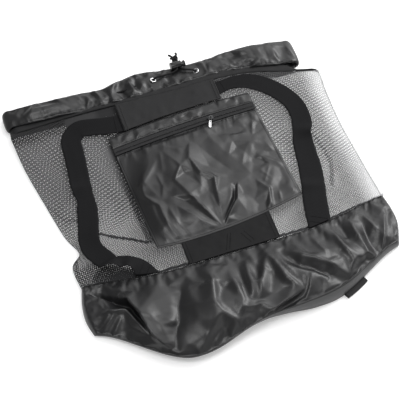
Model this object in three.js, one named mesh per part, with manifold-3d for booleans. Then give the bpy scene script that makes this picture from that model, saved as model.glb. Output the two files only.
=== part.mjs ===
// A ball bag of net and coated cloth with a drawstring mouth, lying on its back.
// Millimetres, +Z up, +Y towards the mouth. The back layer rests at z = 0.
import * as THREE from "three";
import Module from "manifold-3d";

const wasm = await Module();
wasm.setup();

// Cloth, webbing, cord and the clear space between pieces
const CLOTH_WALL = 1.4;
const MESH_WALL = 1.2;
const TAPE_WALL = 2;
const CASING_WALL = 1.2;
const WEBBING_WIDTH = 38;
const WEBBING_THICK = 1.8;
const CORD_DIAMETER = 4;
const LIE_GAP = 1.4;
const SEAM_GAP = 0.7;

// Sections across the bag: its two ends, then place and height of the front cloth
// at five even stations from left to right
const MESH_SECTIONS = [
  { leftX: -311, rightX: 310, y: [246, 246, 247, 248, 214], rise: [14, 23, 25, 24, 13] },
  { leftX: -306, rightX: 308, y: [180, 173, 172, 174, 164], rise: [8, 20, 23, 22, 11] },
  { leftX: -291, rightX: 305, y: [94, 86, 82, 84, 84], rise: [5, 19, 22, 21, 8] },
  { leftX: -271, rightX: 306, y: [12, -6, -8, -6, 4], rise: [5, 20, 22, 22, 9] },
  { leftX: -262, rightX: 310, y: [-32, -54, -55, -54, -42], rise: [6, 22, 25, 24, 10] },
  { leftX: -280, rightX: 313, y: [-60, -92, -94, -92, -74], rise: [8, 25, 28, 26, 12] },
  { leftX: -277, rightX: 316, y: [-103, -133, -136, -133, -109], rise: [9, 28, 31, 29, 14] },
];
const BASE_SECTIONS = [
  { leftX: -277, rightX: 316, y: [-104, -134, -137, -134, -110], rise: [10, 30, 33, 31, 15] },
  { leftX: -286, rightX: 320, y: [-138, -184, -184, -180, -146], rise: [15, 40, 45, 43, 24] },
  { leftX: -289, rightX: 318, y: [-172, -246, -234, -222, -178], rise: [16, 40, 49, 47, 28] },
  { leftX: -286, rightX: 304, y: [-210, -306, -282, -258, -204], rise: [11, 20, 34, 36, 24] },
];
const FLOOR_EDGE = { leftX: -284, rightX: 302, y: [-212, -304, -288, -269, -212] };

// Folds: a line in plan, half width and height
const MESH_FOLDS = [
  { fromX: -218, fromY: -9, toX: -134, toY: -64, width: 28, rise: 4 },
  { fromX: 256, fromY: 120, toX: 268, toY: -60, width: 30, rise: 4 },
];
const BASE_FOLDS = [
  { fromX: -213, fromY: -150, toX: -191, toY: -231, width: 15, rise: -13 },
  { fromX: -182, fromY: -160, toX: -158, toY: -262, width: 17, rise: 9 },
  { fromX: -258, fromY: -161, toX: -215, toY: -205, width: 16, rise: 7 },
  { fromX: -96, fromY: -190, toX: -128, toY: -270, width: 18, rise: -6 },
  { fromX: -58, fromY: -196, toX: -51, toY: -250, width: 17, rise: 6 },
  { fromX: 24, fromY: -178, toX: 8, toY: -250, width: 17, rise: 6 },
  { fromX: 60, fromY: -190, toX: 84, toY: -240, width: 16, rise: -6 },
  { fromX: 97, fromY: -167, toX: 160, toY: -232, width: 17, rise: 7 },
  { fromX: 165, fromY: -168, toX: 195, toY: -222, width: 16, rise: 6 },
  { fromX: 238, fromY: -146, toX: 246, toY: -200, width: 18, rise: 7 },
];
const POCKET_FOLDS = [
  { fromX: -69, fromY: 120, toX: -113, toY: 50, width: 16, rise: 4 },
  { fromX: -46, fromY: 116, toX: -22, toY: -22, width: 16, rise: -4 },
  { fromX: -6, fromY: 103, toX: -2, toY: -60, width: 16, rise: 4 },
  { fromX: 54, fromY: 0, toX: 14, toY: -70, width: 16, rise: 4 },
  { fromX: 140, fromY: 60, toX: 105, toY: -50, width: 18, rise: 4 },
];

// Drawstring casing: edges at five stations, section as shares of height and half thickness
const CASING_THICK = 10;
const CASING_FRONT_Z = 26;
const CASING_BACK_Z = CASING_THICK / 2;
const CASING_LEFT_X = -305.4;
const CASING_RIGHT_X = 267;
const CASING_LOW_Y = [259, 258, 258.5, 260, 240];
const CASING_RIM_Y = [301, 303, 303, 302, 295];
const CASING_SECTION = [
  { up: 0, out: 0 },
  { up: 0.05, out: 0.64 },
  { up: 0.16, out: 1 },
  { up: 0.84, out: 1 },
  { up: 0.95, out: 0.64 },
  { up: 1, out: 0 },
  { up: 0.95, out: -0.64 },
  { up: 0.84, out: -1 },
  { up: 0.16, out: -1 },
  { up: 0.05, out: -0.64 },
];
const RIM_PUFFS = [
  { x: -215, width: 60, rise: 6, swell: 0.25 },
  { x: -60, width: 34, rise: 8, swell: 0 },
  { x: 190, width: 70, rise: 6, swell: 0.25 },
];

// Front pocket
const POCKET = {
  topLeft: [-140, 183],
  topRight: [154, 199],
  bottomLeft: [-126, -83],
  bottomRight: [169, -57],
  topBow: 6,
  bottomBow: -13,
  puff: 9,
  headerEnd: 0.096,
  tapeStart: 0.101,
  tapeEnd: 0.158,
  frontStart: 0.163,
};

// Yokes: reach along X
const UPPER_YOKE = { leftX: -105, rightX: 99 };
const LOWER_YOKE = { startShare: 0.15, endShare: 0.75 };

// Straps: the centre line in plan
const STRAP_RIGHT = [
  { x: 101.5, y: 222.5 },
  { x: 130, y: 224 },
  { x: 160, y: 221 },
  { x: 190, y: 206 },
  { x: 216, y: 180 },
  { x: 232, y: 148 },
  { x: 233, y: 108 },
  { x: 222, y: 70 },
  { x: 214, y: 34 },
  { x: 206, y: -4 },
  { x: 197, y: -44 },
  { x: 188, y: -84 },
  { x: 178, y: -128 },
];
const STRAP_LEFT = [
  { x: -107.5, y: 208.5 },
  { x: -132, y: 209 },
  { x: -158, y: 212 },
  { x: -184, y: 210 },
  { x: -205, y: 194 },
  { x: -212, y: 164 },
  { x: -214, y: 130 },
  { x: -219, y: 84 },
  { x: -224, y: 38 },
  { x: -233, y: -6 },
  { x: -236, y: -38 },
  { x: -226, y: -68 },
  { x: -200, y: -87 },
  { x: -177, y: -104 },
  { x: -167, y: -126 },
];

// Eyelets, cord lock and knot
const EYELETS = { left: { x: -15, y: 285 }, right: { x: 72, y: 279 } };
const EYELET_BORE = 3.6;
const EYELET_RADIUS = 6.6;
const EYELET_HOLE = 4.8;
const LOCK = { x: 26, y: 299, radius: 8, length: 22, bore: 5.3, wall: 1.5 };
const LOCK_Z = CASING_FRONT_Z + CASING_THICK / 2 + LOCK.radius + 0.4;
const LOCK_SLOT = { fromX: 35.4, toX: 47, height: 6, lane: 3.4 };
const BUTTON = { fromX: 33, length: 19, radius: 4.8, headLength: 4, headRadius: 6.4, travel: 3.5 };
const KNOT = { x: 40.5, y: 320, z: 33, radiusX: 6.2, radiusY: 5, radiusZ: 5 };

// Zip slider and pull
const SLIDER = { share: 0.683, length: 11, width: 8.5, thick: 2.4, barRadius: 0.8, barHeight: 3.4 };
const PULL = { length: 21, width: 6.4, thick: 1.4, knuckle: 2.4, knuckleBore: 1.3, knuckleLength: 4, yaw: 20 };

// Webbing tab at the bottom panel
const TAB = { x: 190, width: 46, reach: 14, layer: 1.8, fold: 4.8 };

// Smooth value at share t of evenly spaced values
function smoothAt(values, t) {
  const last = values.length - 1;
  const place = Math.min(Math.max(t, 0), 1) * last;
  const i = Math.min(Math.floor(place), last - 1);
  const f = place - i;
  const a = values[Math.max(i - 1, 0)];
  const b = values[i];
  const c = values[i + 1];
  const d = values[Math.min(i + 2, last)];
  const square = (2 * a - 5 * b + 4 * c - d) * f * f;
  const cube = (3 * b - a - 3 * c + d) * f * f * f;
  return 0.5 * (2 * b + (c - a) * f + square + cube);
}

const { lerp, clamp, smoothstep, degToRad } = THREE.MathUtils;

// The section at share v of a table of sections
function sectionAt(sections, v) {
  const stations = [0, 1, 2, 3, 4];
  return {
    leftX: smoothAt(sections.map((s) => s.leftX), v),
    rightX: smoothAt(sections.map((s) => s.rightX), v),
    y: stations.map((k) => smoothAt(sections.map((s) => s.y[k]), v)),
    rise: stations.map((k) => smoothAt(sections.map((s) => s.rise[k]), v)),
  };
}

// Height that a table of folds adds at a plan point
function foldRise(folds, x, y) {
  let rise = 0;
  for (const fold of folds) {
    const alongX = fold.toX - fold.fromX;
    const alongY = fold.toY - fold.fromY;
    const reach = (x - fold.fromX) * alongX + (y - fold.fromY) * alongY;
    const share = clamp(reach / (alongX * alongX + alongY * alongY), 0, 1);
    const away = Math.hypot(x - fold.fromX - share * alongX, y - fold.fromY - share * alongY);
    rise += fold.rise * Math.exp(-((away / fold.width) ** 2));
  }
  return rise;
}

// Front cloth point at share u across a section
function frontPoint(section, folds, u) {
  const x = lerp(section.leftX, section.rightX, u);
  const y = smoothAt(section.y, u);
  const edge = smoothstep(Math.min(u, 1 - u), 0, 0.08);
  const z = smoothAt(section.rise, u) + edge * foldRise(folds, x, y);
  return new THREE.Vector3(x, y, z);
}

// Height of the net's front layer at a plan point
function meshFrontZ(x, y) {
  let high = 0;
  let low = 1;
  for (let step = 0; step < 26; step += 1) {
    const v = (high + low) / 2;
    const section = sectionAt(MESH_SECTIONS, v);
    const u = (x - section.leftX) / (section.rightX - section.leftX);
    if (smoothAt(section.y, u) > y) {
      high = v;
    } else {
      low = v;
    }
  }
  const section = sectionAt(MESH_SECTIONS, (high + low) / 2);
  const u = clamp((x - section.leftX) / (section.rightX - section.leftX), 0, 1);
  return frontPoint(section, MESH_FOLDS, u).z;
}

// Geometry from points and triangles, turned outside out
function geometryOf(points, triangles) {
  let volume = 0;
  const cross = new THREE.Vector3();
  for (const [a, b, c] of triangles) {
    volume += points[a].dot(cross.crossVectors(points[b], points[c]));
  }
  const index = triangles.flatMap(([a, b, c]) => (volume < 0 ? [a, c, b] : [a, b, c]));
  const geometry = new THREE.BufferGeometry();
  const places = points.flatMap((p) => [p.x, p.y, p.z]);
  geometry.setAttribute("position", new THREE.Float32BufferAttribute(places, 3));
  geometry.setIndex(index);
  geometry.computeVertexNormals();
  return geometry;
}

// A wall of cloth between two grids of points that match row by row
function clothSlab(upper, lower) {
  const rows = upper.length;
  const columns = upper[0].length;
  const points = [...upper.flat(), ...lower.flat()];
  const under = rows * columns;
  const at = (row, column) => row * columns + column;
  const triangles = [];
  for (let row = 0; row < rows - 1; row += 1) {
    for (let column = 0; column < columns - 1; column += 1) {
      const a = at(row, column);
      const b = at(row, column + 1);
      const c = at(row + 1, column + 1);
      const d = at(row + 1, column);
      triangles.push([a, b, c], [a, c, d]);
      triangles.push([under + a, under + c, under + b], [under + a, under + d, under + c]);
    }
  }
  const rim = [];
  for (let column = 0; column < columns - 1; column += 1) {
    rim.push(at(0, column));
  }
  for (let row = 0; row < rows - 1; row += 1) {
    rim.push(at(row, columns - 1));
  }
  for (let column = columns - 1; column > 0; column -= 1) {
    rim.push(at(rows - 1, column));
  }
  for (let row = rows - 1; row > 0; row -= 1) {
    rim.push(at(row, 0));
  }
  rim.forEach((a, i) => {
    const b = rim[(i + 1) % rim.length];
    triangles.push([a, under + a, under + b], [a, under + b, b]);
  });
  return geometryOf(points, triangles);
}

// A sleeve of cloth from matching outer and inner rings; ends are "open", "closed" or "joined"
function clothSleeve(outer, inner, end) {
  const rows = outer.length;
  const count = outer[0].length;
  const points = [...outer.flat(), ...inner.flat()];
  const inside = rows * count;
  const at = (row, i) => (row % rows) * count + (i % count);
  const triangles = [];
  const lastRow = end === "joined" ? rows : rows - 1;
  for (let row = 0; row < lastRow; row += 1) {
    for (let i = 0; i < count; i += 1) {
      const a = at(row, i);
      const b = at(row, i + 1);
      const c = at(row + 1, i + 1);
      const d = at(row + 1, i);
      triangles.push([a, b, c], [a, c, d]);
      triangles.push([inside + a, inside + c, inside + b], [inside + a, inside + d, inside + c]);
    }
  }
  if (end !== "joined") {
    for (let i = 0; i < count; i += 1) {
      const a = at(0, i);
      const b = at(0, i + 1);
      triangles.push([a, inside + a, inside + b], [a, inside + b, b]);
    }
  }
  if (end === "open") {
    for (let i = 0; i < count; i += 1) {
      const a = at(rows - 1, i);
      const b = at(rows - 1, i + 1);
      triangles.push([a, inside + b, inside + a], [a, b, inside + b]);
    }
  }
  if (end === "closed") {
    for (let i = 0; i < count / 2 - 1; i += 1) {
      const a = at(rows - 1, i);
      const b = at(rows - 1, i + 1);
      const c = at(rows - 1, count - 2 - i);
      const d = at(rows - 1, count - 1 - i);
      triangles.push([a, b, c], [a, c, d]);
      triangles.push([inside + a, inside + c, inside + b], [inside + a, inside + d, inside + c]);
    }
  }
  return geometryOf(points, triangles);
}

// Outer and inner ring from a front row and the floor row under it
function ringPair(front, floor, wall, shiftY) {
  const outer = [...front, ...[...floor].reverse()];
  const firstX = front[0].x + wall;
  const lastX = front[front.length - 1].x - wall;
  const inset = (p, z) => new THREE.Vector3(clamp(p.x, firstX, lastX), p.y + shiftY, z);
  const innerFront = front.map((p) => inset(p, p.z - wall));
  const innerFloor = floor.map((p) => inset(p, wall));
  return { outer, inner: [...innerFront, ...innerFloor.reverse()] };
}

// Net sleeve
function meshBody() {
  const across = 24;
  const down = 9;
  const outer = [];
  const inner = [];
  for (let row = 0; row <= down; row += 1) {
    const section = sectionAt(MESH_SECTIONS, row / down);
    const front = [];
    for (let i = 0; i <= across; i += 1) {
      front.push(frontPoint(section, MESH_FOLDS, i / across));
    }
    const floor = front.map((p) => new THREE.Vector3(p.x, p.y, 0));
    const ring = ringPair(front, floor, MESH_WALL, 0);
    outer.push(ring.outer);
    inner.push(ring.inner);
  }
  return clothSleeve(outer, inner, "open");
}

// Base cup; its bottom panel closes the last section down to the floor edge
function base() {
  const across = 30;
  const down = 9;
  const outer = [];
  const inner = [];
  for (let row = 0; row <= down; row += 1) {
    const v = row / down;
    const section = sectionAt(BASE_SECTIONS, v);
    const hold = smoothstep(v, 0, 0.3) * (1 - 0.6 * smoothstep(v, 0.7, 1));
    const folds = BASE_FOLDS.map((fold) => ({ ...fold, rise: fold.rise * hold }));
    const front = [];
    const floor = [];
    for (let i = 0; i <= across; i += 1) {
      const u = i / across;
      const point = frontPoint(section, folds, u);
      const edgeX = lerp(FLOOR_EDGE.leftX, FLOOR_EDGE.rightX, u);
      const edgeY = smoothAt(FLOOR_EDGE.y, u);
      const under = row === down ? new THREE.Vector3(edgeX, edgeY, 0) : new THREE.Vector3(point.x, point.y, 0);
      front.push(point);
      floor.push(under);
    }
    const ring = ringPair(front, floor, CLOTH_WALL, row === down ? CLOTH_WALL * 1.3 : 0);
    outer.push(ring.outer);
    inner.push(ring.inner);
  }
  return clothSleeve(outer, inner, "closed");
}

// Share of the collar's width at x
function casingShare(x) {
  const turn = (CASING_FRONT_Z - CASING_BACK_Z) / 2;
  const left = CASING_LEFT_X - turn;
  return (x - left) / (CASING_RIGHT_X + turn - left);
}

function casingLowY(x) {
  return smoothAt(CASING_LOW_Y, casingShare(x));
}

function rimPuff(x, column) {
  return RIM_PUFFS.reduce((sum, puff) => sum + puff[column] * Math.exp(-(((x - puff.x) / puff.width) ** 2)), 0);
}

function casingRimY(x) {
  return smoothAt(CASING_RIM_Y, casingShare(x)) + rimPuff(x, "rise");
}

// Round path of the casing in the XZ plane, with its outward direction
function casingPath(frontSteps, turnSteps, frontZ, backZ) {
  const radius = (frontZ - backZ) / 2;
  const middleZ = (frontZ + backZ) / 2;
  const stations = [];
  for (let i = 0; i <= frontSteps; i += 1) {
    stations.push({ x: lerp(CASING_LEFT_X, CASING_RIGHT_X, i / frontSteps), z: frontZ, outX: 0, outZ: 1 });
  }
  for (let i = 1; i < turnSteps; i += 1) {
    const angle = (Math.PI * i) / turnSteps;
    const outX = Math.sin(angle);
    const outZ = Math.cos(angle);
    stations.push({ x: CASING_RIGHT_X + radius * outX, z: middleZ + radius * outZ, outX, outZ });
  }
  for (let i = 0; i <= frontSteps; i += 1) {
    stations.push({ x: lerp(CASING_RIGHT_X, CASING_LEFT_X, i / frontSteps), z: backZ, outX: 0, outZ: -1 });
  }
  for (let i = 1; i < turnSteps; i += 1) {
    const angle = (Math.PI * i) / turnSteps;
    const outX = -Math.sin(angle);
    const outZ = -Math.cos(angle);
    stations.push({ x: CASING_LEFT_X + radius * outX, z: middleZ + radius * outZ, outX, outZ });
  }
  return stations;
}

// Collar: the casing swept round the mouth, with two eyelet holes in its front
function collar() {
  const outer = [];
  const inner = [];
  for (const station of casingPath(15, 5, CASING_FRONT_Z, CASING_BACK_Z)) {
    const lowY = casingLowY(station.x);
    const rimY = casingRimY(station.x);
    const swell = 1 + Math.max(station.outZ, 0) * rimPuff(station.x, "swell");
    const ring = (wall) =>
      CASING_SECTION.map(({ up, out }) => {
        const half = (CASING_THICK / 2) * (out > 0 ? swell : 1) - wall;
        const y = lerp(lowY + wall, rimY - wall, up);
        return new THREE.Vector3(station.x + station.outX * out * half, y, station.z + station.outZ * out * half);
      });
    outer.push(ring(0));
    inner.push(ring(CASING_WALL));
  }
  let solid = solidOf(clothSleeve(outer, inner, "joined"));
  for (const eyelet of Object.values(EYELETS)) {
    const hole = new THREE.CylinderGeometry(EYELET_HOLE, EYELET_HOLE, CASING_THICK, 16);
    hole.rotateX(Math.PI / 2);
    hole.translate(eyelet.x, eyelet.y, CASING_FRONT_Z + CASING_THICK / 2 + 2);
    solid = solid.subtract(solidOf(hole));
  }
  return geometryFrom(solid);
}

// Binding between net and collar
function seamTape() {
  const across = 22;
  const leftX = -313;
  const rightX = 290;
  const top = MESH_SECTIONS[0];
  const rise = [16, 25, 26.5, 25.5, 16];
  const row = (placeY) => {
    const points = [];
    for (let i = 0; i <= across; i += 1) {
      const x = lerp(leftX, rightX, i / across);
      points.push(new THREE.Vector3(x, placeY(x), smoothAt(rise, i / across)));
    }
    return points;
  };
  const lowRow = row((x) => smoothAt(top.y, (x - top.leftX) / (top.rightX - top.leftX)) + SEAM_GAP);
  const highRow = row((x) => casingLowY(x) - SEAM_GAP);
  const rings = [highRow, lowRow].map((front) => {
    const floor = front.map((p) => new THREE.Vector3(p.x, p.y, 0));
    return ringPair(front, floor, TAPE_WALL, 0);
  });
  return clothSleeve(rings.map((r) => r.outer), rings.map((r) => r.inner), "open");
}

// A layer lying on the net: plan(s, t) gives a place, lift(s, t) the height over the net
function layer(stepsS, stepsT, plan, lift, thick) {
  const upper = [];
  const lower = [];
  for (let row = 0; row <= stepsT; row += 1) {
    const upperRow = [];
    const lowerRow = [];
    for (let column = 0; column <= stepsS; column += 1) {
      const s = column / stepsS;
      const t = row / stepsT;
      const [x, y] = plan(s, t);
      const z = meshFrontZ(x, y) + LIE_GAP + lift(s, t, x, y);
      upperRow.push(new THREE.Vector3(x, y, z + thick));
      lowerRow.push(new THREE.Vector3(x, y, z));
    }
    upper.push(upperRow);
    lower.push(lowerRow);
  }
  return clothSlab(upper, lower);
}

// Pocket plan at share s across and t down
function pocketPlan(s, t) {
  const x = lerp(lerp(POCKET.topLeft[0], POCKET.topRight[0], s), lerp(POCKET.bottomLeft[0], POCKET.bottomRight[0], s), t);
  const y = lerp(lerp(POCKET.topLeft[1], POCKET.topRight[1], s), lerp(POCKET.bottomLeft[1], POCKET.bottomRight[1], s), t);
  const bow = 4 * s * (1 - s);
  return [x, y + bow * lerp(POCKET.topBow, POCKET.bottomBow, t)];
}

function pocketPuff(s, t, x, y) {
  const sides = smoothstep(Math.min(s, 1 - s), 0, 0.22);
  const ends = smoothstep(t, POCKET.frontStart, 0.42) * (1 - smoothstep(t, 0.78, 1));
  return sides * ends * (POCKET.puff + foldRise(POCKET_FOLDS, x, y));
}

function pocketFront() {
  const plan = (s, t) => pocketPlan(s, lerp(POCKET.frontStart, 1, t));
  const lift = (s, t, x, y) => pocketPuff(s, lerp(POCKET.frontStart, 1, t), x, y);
  return layer(14, 11, plan, lift, CLOTH_WALL);
}

function pocketHeader() {
  return layer(16, 2, (s, t) => pocketPlan(s, t * POCKET.headerEnd), () => 0, CLOTH_WALL);
}

// Zip tape with the closed chain standing along its middle
function zipTape() {
  const chainHeight = 1.4;
  const shares = [0, 0.36, 0.42, 0.58, 0.64, 1];
  const stepsT = shares.length - 1;
  const plan = (s, t) => pocketPlan(s, lerp(POCKET.tapeStart, POCKET.tapeEnd, shares[Math.round(t * stepsT)]));
  const lower = layerRows(16, stepsT, plan, 0);
  const upper = layerRows(16, stepsT, plan, 1);
  [2, 3].forEach((row) => upper[row].forEach((p) => p.setZ(p.z + chainHeight)));
  return clothSlab(upper, lower);
}

function layerRows(stepsS, stepsT, plan, lift) {
  const rows = [];
  for (let row = 0; row <= stepsT; row += 1) {
    const points = [];
    for (let column = 0; column <= stepsS; column += 1) {
      const [x, y] = plan(column / stepsS, row / stepsT);
      points.push(new THREE.Vector3(x, y, meshFrontZ(x, y) + LIE_GAP + lift));
    }
    rows.push(points);
  }
  return rows;
}

// Yokes run from the pocket's ends to the seams of the net
function pocketEdgeY(x, t) {
  const left = lerp(POCKET.topLeft[0], POCKET.bottomLeft[0], t);
  const right = lerp(POCKET.topRight[0], POCKET.bottomRight[0], t);
  return pocketPlan((x - left) / (right - left), t)[1];
}

function upperYoke() {
  const top = MESH_SECTIONS[0];
  const plan = (s, t) => {
    const x = lerp(UPPER_YOKE.leftX, UPPER_YOKE.rightX, s);
    const seamY = smoothAt(top.y, (x - top.leftX) / (top.rightX - top.leftX));
    return [x, lerp(seamY - 1, pocketEdgeY(x, 0) + 1.5, t)];
  };
  return layer(12, 3, plan, () => 0, CLOTH_WALL);
}

function lowerYoke() {
  const plan = (s, t) => {
    const [x] = pocketPlan(lerp(LOWER_YOKE.startShare, LOWER_YOKE.endShare, s), 1);
    return [x, lerp(pocketEdgeY(x, 1) - 1.5, netEndY(x) + 0.5, t)];
  };
  return layer(12, 3, plan, () => 0, CLOTH_WALL);
}

// Lower edge of the net, where base, straps and yoke are sewn to it
function netEndY(x) {
  const end = MESH_SECTIONS[MESH_SECTIONS.length - 1];
  return smoothAt(end.y, (x - end.leftX) / (end.rightX - end.leftX));
}

// Webbing strap along a centre line, cut off along the base seam
function strap(table, steps) {
  const line = new THREE.CatmullRomCurve3(table.map((p) => new THREE.Vector3(p.x, p.y, 0)));
  const plan = (s, t) => {
    const place = line.getPointAt(t);
    const along = line.getTangentAt(t);
    const off = (s - 0.5) * WEBBING_WIDTH;
    const x = place.x - along.y * off;
    return [x, Math.max(place.y + along.x * off, netEndY(x) + 1)];
  };
  return layer(2, steps, plan, () => 0, WEBBING_THICK);
}

function solidOf(geometry) {
  const flat = geometry.index ? geometry.toNonIndexed() : geometry;
  const places = flat.getAttribute("position");
  const known = new Map();
  const vertices = [];
  const corners = [];
  for (let i = 0; i < places.count; i += 1) {
    const point = [places.getX(i), places.getY(i), places.getZ(i)];
    const key = point.map((value) => Math.round(value * 1e4)).join(",");
    if (!known.has(key)) {
      known.set(key, vertices.length / 3);
      vertices.push(...point);
    }
    corners.push(known.get(key));
  }
  const triVerts = [];
  for (let i = 0; i < corners.length; i += 3) {
    const [a, b, c] = corners.slice(i, i + 3);
    if (a !== b && b !== c && a !== c) {
      triVerts.push(a, b, c);
    }
  }
  const mesh = new wasm.Mesh({
    numProp: 3,
    vertProperties: new Float32Array(vertices),
    triVerts: new Uint32Array(triVerts),
  });
  return new wasm.Manifold(mesh);
}

function geometryFrom(solid) {
  const mesh = solid.getMesh();
  const geometry = new THREE.BufferGeometry();
  geometry.setAttribute("position", new THREE.Float32BufferAttribute(Array.from(mesh.vertProperties), 3));
  geometry.setIndex(Array.from(mesh.triVerts));
  geometry.computeVertexNormals();
  return geometry;
}

// Spool-shaped eyelet through the casing's front wall
function eyelet(place) {
  const wallTop = CASING_FRONT_Z + CASING_THICK / 2;
  const wallUnder = wallTop - CASING_WALL;
  const profile = [
    [EYELET_BORE, wallUnder - 1.3],
    [EYELET_RADIUS - 0.4, wallUnder - 1.3],
    [EYELET_RADIUS - 0.4, wallUnder - 0.4],
    [EYELET_BORE + 0.7, wallUnder - 0.4],
    [EYELET_BORE + 0.7, wallTop + 0.4],
    [EYELET_RADIUS, wallTop + 0.4],
    [EYELET_RADIUS, wallTop + 0.9],
    [EYELET_RADIUS - 1.2, wallTop + 1.6],
    [EYELET_BORE + 0.4, wallTop + 1.6],
    [EYELET_BORE, wallTop + 1.1],
    [EYELET_BORE, wallUnder - 1.3],
  ].map(([radius, z]) => new THREE.Vector2(radius, z));
  const geometry = new THREE.LatheGeometry(profile, 12);
  geometry.rotateX(Math.PI / 2);
  geometry.translate(place.x, place.y, 0);
  return geometry;
}

// Round cord along a smooth line; "bySpan" gives each span between points the same number of steps
function cord(points, steps, bySpan = false) {
  const line = new THREE.CatmullRomCurve3(points.map(([x, y, z]) => new THREE.Vector3(x, y, z)));
  if (bySpan) {
    line.getUtoTmapping = (u) => u;
  }
  const round = [];
  for (let i = 0; i < 8; i += 1) {
    const angle = (2 * Math.PI * i) / 8;
    round.push(new THREE.Vector2(Math.cos(angle), Math.sin(angle)).multiplyScalar(CORD_DIAMETER / 2));
  }
  return new THREE.ExtrudeGeometry(new THREE.Shape(round), { steps, extrudePath: line });
}

// Strands from the eyelets through the lock to the knot
function drawcordLeft() {
  const { x, y } = EYELETS.left;
  const laneX = LOCK_SLOT.fromX + LOCK_SLOT.lane;
  return cord(
    [
      [x, y, 27.3],
      [x, y, 33.6],
      [x + 6, y + 0.5, 38],
      [x + 22, y + 0.5, 36],
      [x + 38, y + 0.5, 36.4],
      [laneX - 3, LOCK.y - 12, 38.8],
      [laneX, LOCK.y - 6, LOCK_Z],
      [laneX, LOCK.y + 8, LOCK_Z],
      [laneX, KNOT.y - KNOT.radiusY - 1, LOCK_Z - 3],
    ],
    20,
  );
}

function drawcordRight() {
  const { x, y } = EYELETS.right;
  const laneX = LOCK_SLOT.toX - LOCK_SLOT.lane;
  return cord(
    [
      [x, y, 27.3],
      [x, y, 33.6],
      [x - 5, y + 1.5, 38],
      [x - 15, y + 4.5, 37.4],
      [laneX + 3.5, LOCK.y - 11.5, 38.8],
      [laneX, LOCK.y - 6, LOCK_Z],
      [laneX, LOCK.y + 8, LOCK_Z],
      [laneX, KNOT.y - KNOT.radiusY - 1, LOCK_Z - 3],
    ],
    18,
  );
}

// The stretch inside the casing, from one eyelet round the mouth to the other
function drawcordRun() {
  const frontZ = CASING_FRONT_Z - 1.5;
  const stations = casingPath(14, 6, frontZ, CASING_BACK_Z);
  const share = (x) => lerp(0.55, 0.43, clamp((x - EYELETS.left.x) / (EYELETS.right.x - EYELETS.left.x), 0, 1));
  const placeY = (x) => lerp(casingLowY(x), casingRimY(x), share(x));
  const front = stations.filter((p) => p.outZ === 1);
  const rest = stations.filter((p) => p.outZ !== 1);
  const fromRight = front.filter((p) => p.x > EYELETS.right.x);
  const toLeft = front.filter((p) => p.x < EYELETS.left.x - 8);
  const round = [...fromRight, ...rest, ...toLeft].map((p) => [p.x, placeY(p.x), p.z]);
  const first = [EYELETS.right.x - 3, EYELETS.right.y, frontZ];
  const last = [EYELETS.left.x + 3, EYELETS.left.y, frontZ];
  return cord([first, ...round, last], round.length + 1, true);
}

// Cord lock: barrel lying along X, sprung button, slot for the two strands
function cylinderX(radius, fromX, length, sides) {
  const geometry = new THREE.CylinderGeometry(radius, radius, length, sides);
  geometry.rotateZ(Math.PI / 2);
  geometry.translate(fromX + length / 2, LOCK.y, LOCK_Z);
  return geometry;
}

function slotBlock(fromX, toX) {
  const geometry = new THREE.BoxGeometry(toX - fromX, 4 * LOCK.radius, LOCK_SLOT.height);
  geometry.translate((fromX + toX) / 2, LOCK.y, LOCK_Z);
  return solidOf(geometry);
}

function lockBarrel() {
  const body = solidOf(cylinderX(LOCK.radius, LOCK.x, LOCK.length, 18));
  const bore = solidOf(cylinderX(LOCK.bore, LOCK.x + LOCK.wall, LOCK.length, 18));
  return geometryFrom(body.subtract(bore).subtract(slotBlock(LOCK_SLOT.fromX, LOCK_SLOT.toX)));
}

function lockButton() {
  const stem = solidOf(cylinderX(BUTTON.radius, BUTTON.fromX, BUTTON.length + 1, 18));
  const head = solidOf(cylinderX(BUTTON.headRadius, BUTTON.fromX + BUTTON.length, BUTTON.headLength, 18));
  const slot = slotBlock(LOCK_SLOT.fromX + 0.8, LOCK_SLOT.toX + BUTTON.travel - 0.3);
  return geometryFrom(stem.add(head).subtract(slot));
}

// Knot with its two short ends
function cordKnot() {
  const ball = new THREE.SphereGeometry(1, 12, 8);
  ball.scale(KNOT.radiusX, KNOT.radiusY, KNOT.radiusZ);
  ball.translate(KNOT.x, KNOT.y, KNOT.z);
  const tailLeft = cord([[KNOT.x - 2, KNOT.y, KNOT.z], [KNOT.x - 9, KNOT.y + 5, KNOT.z + 1], [KNOT.x - 15, KNOT.y + 5, KNOT.z]], 4);
  const tailRight = cord([[KNOT.x + 2, KNOT.y, KNOT.z], [KNOT.x + 7, KNOT.y + 6, KNOT.z], [KNOT.x + 8, KNOT.y + 12, KNOT.z - 2]], 4);
  return geometryFrom(solidOf(ball).add(solidOf(tailLeft)).add(solidOf(tailRight)));
}

// Zip slider: shield-shaped body with a bar across two posts
function sliderPlace() {
  const [x, y] = pocketPlan(SLIDER.share, (POCKET.tapeStart + POCKET.tapeEnd) / 2);
  return { x, y, z: meshFrontZ(x, y) + LIE_GAP + 1 + 1.4 + 0.6 };
}

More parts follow.
